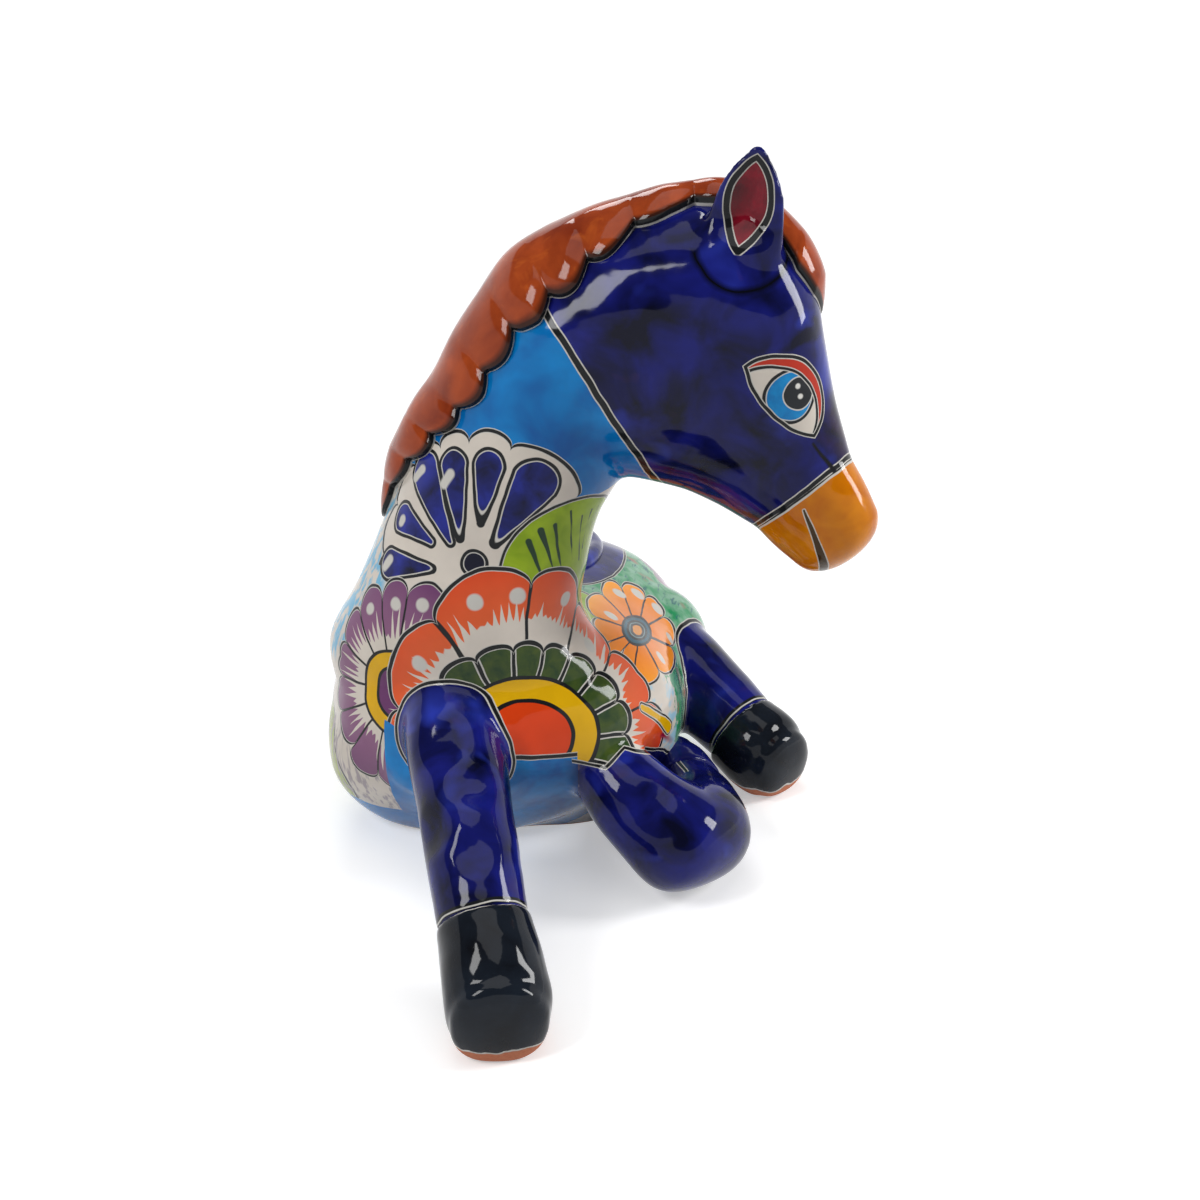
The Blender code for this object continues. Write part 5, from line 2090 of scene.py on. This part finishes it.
    def _neck(self, brush: Brush) -> None:
        """Paints the neck: blue above, then the fan of drops and the leaf on both sides.

        Args:
            brush: The body's finish.
        """
        add = brush.add
        both = brush.folded(*self.neck_fold)
        brush.fill(brush.mottled(SKY_DEEP, SKY, 24.0), brush.block(*self.blue_neck))
        local, x, y, _ = brush.facing(Sheet(self.hub, self.fan_face, VIEW.up()), both)
        angle = add(Sum.ANGLE, y, x)
        radius = add(Sum.LENGTH, local)
        edge, _ = self.fan_edge.edge(brush, radius, angle)
        above = add(Sum.MINUS, -4.0, y)
        brush.fill(CREAM, brush.most(edge, above))
        brush.outline(edge, 1.4, within=above)
        drops = brush.least(*[brush.drop(*drop, both) for drop in self.fan_drops])
        brush.fill(INK, drops, 1.75)
        brush.fill(HALO, drops, 0.45)
        brush.fill(brush.mottled(COBALT_DEEP, FAN_BLUE, 12.0), drops)
        spots = brush.least(*[brush.drop(low, 1.9, high, 2.1, both) for low, high in self.fan_spots])
        brush.fill(HALO, spots, 0, 0.8)
        hub = brush.spot(self.hub, 0.0, both)
        brush.fill(INK, hub, 5.6)
        brush.fill(HALO, hub, 4.3)
        brush.fill(COBALT_DEEP, hub, 3.9)
        leaf = brush.spot(*self.leaf, both)
        brush.fill(brush.mottled(LEAF_DEEP, LEAF, 10.0), leaf)
        brush.outline(leaf, 1.1)
        veins = brush.least(*[brush.drop(*vein, both) for vein in self.leaf_veins])
        brush.fill(BOTTLE_GREEN, veins, 0, 0.3)

    def _chest(self, brush: Brush) -> None:
        """Paints the small yellow leaf beside the poppy.

        Args:
            brush: The body's finish.
        """
        brush.fill(CRIMSON, brush.drop(*self.chest_tip), 0, 1.5)
        leaf = brush.drop(*self.chest_leaf)
        brush.fill(YELLOW, leaf)
        brush.outline(leaf, 0.6)

    def _foot(self, brush: Brush) -> None:
        """Paints the blue base between and beside the forelegs, cut off straight above.

        Args:
            brush: The body's finish.
        """
        x, _, z = brush.axes
        top = brush.add(Sum.TIMES_PLUS, x, self.base_top[1], z)
        top = brush.add(Sum.MINUS, top, self.base_top[0])
        side, skirt = brush.block(*self.base_side), brush.block(*self.base_skirt)
        under = brush.add(Sum.MINUS, x, self.knee_line[0][0] + 2)
        field = brush.most(brush.least(brush.most(top, side), skirt), under)
        brush.fill(brush.mottled(SKY_DEEP, SKY, 20.0), field)
        right = brush.add(Sum.MINUS, 4.0, x)
        brush.outline(top, 1.6, within=brush.most(side, right, under))

    def _mouth(self, brush: Brush, barrel: Barrel) -> None:
        """Paints the cobalt band round the planting mouth.

        Args:
            brush: The body's finish.
            barrel: The barrel.
        """
        off = brush.add(Sum.OFFSET, brush.drawn, (*barrel.mouth, 0.0))
        half = barrel.mouth_half
        shrunk = brush.add(Sum.STRETCH, off, (1 / half[0], 1 / half[1], 0.0))
        reach = brush.add(Sum.LENGTH, shrunk)
        mean = sum(half) / 2
        reach = brush.add(Sum.TIMES_PLUS, reach, mean, -mean - self.mouth_band)
        band = brush.most(reach, brush.block(*self.mouth_field))
        brush.fill(self.cobalt.coat(brush), band)
        brush.outline(band, 1.0)

    def _legs(self, brush: Brush, limbs: Sequence[Limb]) -> None:
        """Lets the legs' cobalt run over their roots, ended by a dark line.

        Args:
            brush: The body's finish.
            limbs: The legs.
        """
        roots = []
        for limb in limbs:
            for (start, low), (end, high) in zip(limb.leg, limb.leg[1:]):
                if start in self.leg_roots:
                    roots.append(brush.drop(start, low + limb.root_spread, end, high + limb.root_spread))
        cobalt = brush.least(*roots)
        coat = self.cobalt.coat(brush)
        brush.fill(coat, cobalt)
        brush.outline(cobalt, 1.1)
        last = limbs[-1]
        seam = brush.beyond(tuple(last.seam().middle / MM), last.seam_way())
        brush.stroke(seam, 2.0, INK, at=-1.0, within=cobalt)
        self._knee(brush, coat)

    def _knee(self, brush: Brush, coat: Value) -> None:
        """Lets the folded leg's cobalt run down to the table under the line that ends the flowers.

        Args:
            brush: The body's finish.
            coat: The cobalt.
        """
        sheet = Sheet(self.knee_line[0], VIEW.back(), VIEW.up())
        plane, _ = brush.flat(sheet, 0.0)
        places = [sheet.place(point) for point in self.knee_line]
        over = []
        for low, high in zip(places, places[1:]):
            run = Vector(high) - Vector(low)
            over.append(brush.beyond(low, Vector((-run.y, run.x, 0)).normalized(), plane))
        top = brush.most(brush.least(over[0], over[1]), *over[2:])
        left = brush.add(Sum.MINUS, self.knee_line[0][0], brush.axes[0])
        behind = brush.add(Sum.MINUS, brush.axes[1], -20.0)
        field = brush.inside(brush.most(top, behind), 0, 1.0)
        brush.lay(coat, brush.add(Sum.TIMES, field, brush.inside(left, 0, 6.0)))
        brush.outline(top, 1.1, within=brush.most(left, behind))


def dress(piece: Piece, *materials: Finish) -> None:
    """Gives a piece without finishes its own, in the order of its faces' material index."""
    for material in materials:
        piece.data.materials.append(material)


@dataclass(frozen=True)
class Lamp:
    """A soft lamp that is turned to the aim: its place and size in metres, its power in watts."""

    name: str
    place: Point
    size: tuple[float, float]
    power: float

    def hang(self) -> None:
        """Adds the lamp to the scene."""
        light = bpy.data.lights.new(self.name, "AREA")
        light.shape = "RECTANGLE"
        light.size, light.size_y = self.size
        light.energy = self.power
        lamp = placed(self.name, light)
        lamp.location = self.place
        lamp.rotation_euler = (Vector(self.place) - Vector(VIEW.aim)).to_track_quat("Z", "Y").to_euler()


@dataclass(frozen=True)
class Studio:
    """The set: the photograph's camera, a pale room, soft lamps and a white paper floor.

    Attributes:
        room: Strength of the light that comes from everywhere.
        lamps: The lamps.
        paper: The floor's colour.
        sweep: Radius and height of the floor's rings, which rise to a wall far off.
        glow: Strength of the white that only the camera and mirrors see, near the object and far off.
        glow_reach: Distances between which it rises, in metres.
    """

    room: float = 0.14
    lamps: tuple[Lamp, ...] = (
        Lamp("window_left", (-0.55, -0.7, 0.95), (0.32, 0.42), 6.4),
        Lamp("window_right", (0.9, 0.12, 0.55), (0.24, 0.4), 6.5),
        Lamp("window_back", (-0.35, 0.8, 0.9), (0.4, 0.3), 3.0),
        Lamp("ceiling", (0.0, -0.1, 1.7), (1.3, 1.3), 9.0),
    )
    paper: Point = (0.8, 0.8, 0.8)
    sweep: tuple[tuple[float, float], ...] = ((4, 0), (4.6, 0.08), (5, 0.35), (5.2, 1), (5.3, 2.6))
    glow: tuple[float, float] = (0.42, 1.0)
    glow_reach: tuple[float, float] = (0.3, 2.2)

    def build(self) -> None:
        """Sets up camera, room, lamps and floor."""
        camera = placed("photo_camera", bpy.data.cameras.new("photo_camera"))
        back = VIEW.back()
        camera.location = Vector(VIEW.aim) + back * VIEW.distance
        camera.rotation_euler = back.to_track_quat("Z", "Y").to_euler()
        camera.data.lens = VIEW.lens
        camera.data.sensor_width = VIEW.sensor
        scene = bpy.context.scene
        scene.camera = camera
        scene.view_settings.view_transform = "Standard"
        world = bpy.data.worlds.new("pale_room")
        world.use_nodes = True
        light = world.node_tree.nodes["Background"].inputs
        light["Color"].default_value = (1, 1, 1, 1)
        light["Strength"].default_value = self.room
        scene.world = world
        for lamp in self.lamps:
            lamp.hang()
        clay = bmesh.new()
        rows = []
        for radius, height in self.sweep:
            side = Vector((0, radius, 0))
            ring = Section(Vector((0, 0, height)), Vector((radius, 0, 0)), side, side)
            rows.append([clay.verts.new(point) for point in ring.row(96)])
        clay.faces.new(rows[0])
        for low, high in zip(rows, rows[1:]):
            for k in range(len(low)):
                clay.faces.new((low[k - 1], low[k], high[k], high[k - 1]))
        floor = mesh_object("studio_floor", clay)
        dress(floor, self._white_paper())

    def _white_paper(self) -> Finish:
        """Matt paper that looks white to the camera and in mirrors, and keeps the object's shadow."""
        paper = bpy.data.materials.new("white_paper")
        paper.use_nodes = True
        graph = Graph(paper.node_tree)
        shader = paper.node_tree.nodes["Principled BSDF"]
        for name, value in (("Base Color", (*self.paper, 1)), ("Roughness", 0.9),
                            ("Specular IOR Level", 0.0), ("Emission Color", (1, 1, 1, 1))):
            shader.inputs[name].default_value = value
        place = graph.add("ShaderNodeTexCoord", out="Object")
        far = graph.add(Sum.LENGTH, place)
        rise = graph.add("ShaderNodeMapRange", far, *self.glow_reach, *self.glow,
                         interpolation_type="SMOOTHSTEP")
        rays = graph.add("ShaderNodeLightPath").node.outputs
        seen = graph.add(Sum.MOST, rays["Is Camera Ray"], rays["Is Glossy Ray"])
        seen = graph.add(Sum.MOST, seen, rays["Is Transmission Ray"])
        glow = graph.add(Sum.TIMES, rise, seen)
        graph.tree.links.new(glow, shader.inputs["Emission Strength"])
        return paper


def main() -> None:
    """Builds every piece in order and hands it to the frame."""
    logging.basicConfig(level=logging.INFO, format="%(name)s: %(message)s")
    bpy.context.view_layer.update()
    barrel = Barrel()
    head = NeckAndHead()
    ears = (Ear(head, angle=40.0, forward=0.06, splay=0.24),
            Ear(head, angle=-40.0, forward=-0.25, splay=0.45))
    cobalt = CobaltGlaze()
    bisque = Bisque().fire()
    body_paint = PaintedMajolica(cobalt).fire(barrel, LIMBS)
    head_paint = HeadGlaze(cobalt).fire(head, ears)
    muzzle_paint = AmberGlaze().fire(head)
    russet = RussetGlaze()
    pieces = ClaySkin(barrel, head, ears, LIMBS).build(bisque)
    finishes = {
        "painted_body": (body_paint, Slot.MAJOLICA, ("body_pot", "neck_shell", "hind_leg_right")),
        "muzzle": (muzzle_paint, Slot.AMBER, ("muzzle",)),
        "head": (head_paint, Slot.COBALT, ("head_shell", "ear_right", "ear_left")),
    }
    for limb in LIMBS[:3]:
        leg = limb.part.value[0]
        seen = None if limb.part is LimbPart.FORE_LEFT else limb
        finishes[leg] = (cobalt.fire("majolica_glaze_cobalt_" + leg, seen), Slot.COBALT, (leg,))
    for name, piece in pieces.items():
        paint, slot, nodes = finishes[name]
        piece.name = "glazed_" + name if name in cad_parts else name
        dress(piece, paint, bisque)
        hand_over(piece, slot, nodes)
    for limb in LIMBS:
        node = limb.part.value[1]
        hoof = limb.hoof_object()
        hoof.name = "glazed_" + node
        if limb.part is LimbPart.FORE_LEFT:
            dress(hoof, cobalt.fire("majolica_glaze_cobalt_" + node))
            hand_over(hoof, Slot.COBALT, (node,))
        else:
            dress(hoof, BlackGlaze().fire("majolica_glaze_black_" + node, limb))
            hand_over(hoof, Slot.BLACK, (node,))
    mane = CrestBand("mane_band", head, MANE_SPREADS, MANE_LOBES, thick=8.0, scallop=8.0,
                     tapers_up=True, steps=220)
    forelock = CrestBand("forelock_band", head, FORELOCK_SPREADS, FORELOCK_LOBES, thick=8.5, scallop=2.0,
                         tapers_up=False, steps=70)
    hair = russet.fire("majolica_glaze_russet_edged", True)
    for band, node in ((mane, "mane"), (forelock, "forelock")):
        piece = band.build()
        dress(piece, hair)
        hand_over(piece, Slot.RUSSET, (node,))
    tree = coil_tree()
    lip = Coil("rolled_lip", rolled_lip(barrel), closed=True, along=160)
    tail = Coil("combed_tail", curled_tail(), closed=False, along=110, grooves=9, groove_depth=0.12)
    hand_over(lip.build(tree, cobalt.fire("majolica_glaze_cobalt_lip")), Slot.COBALT, ("mouth_rim",))
    hand_over(tail.build(tree, russet.fire("majolica_glaze_russet", False)), Slot.RUSSET, ("tail",))
    Studio().build()


if __name__ == "__main__":
    main()
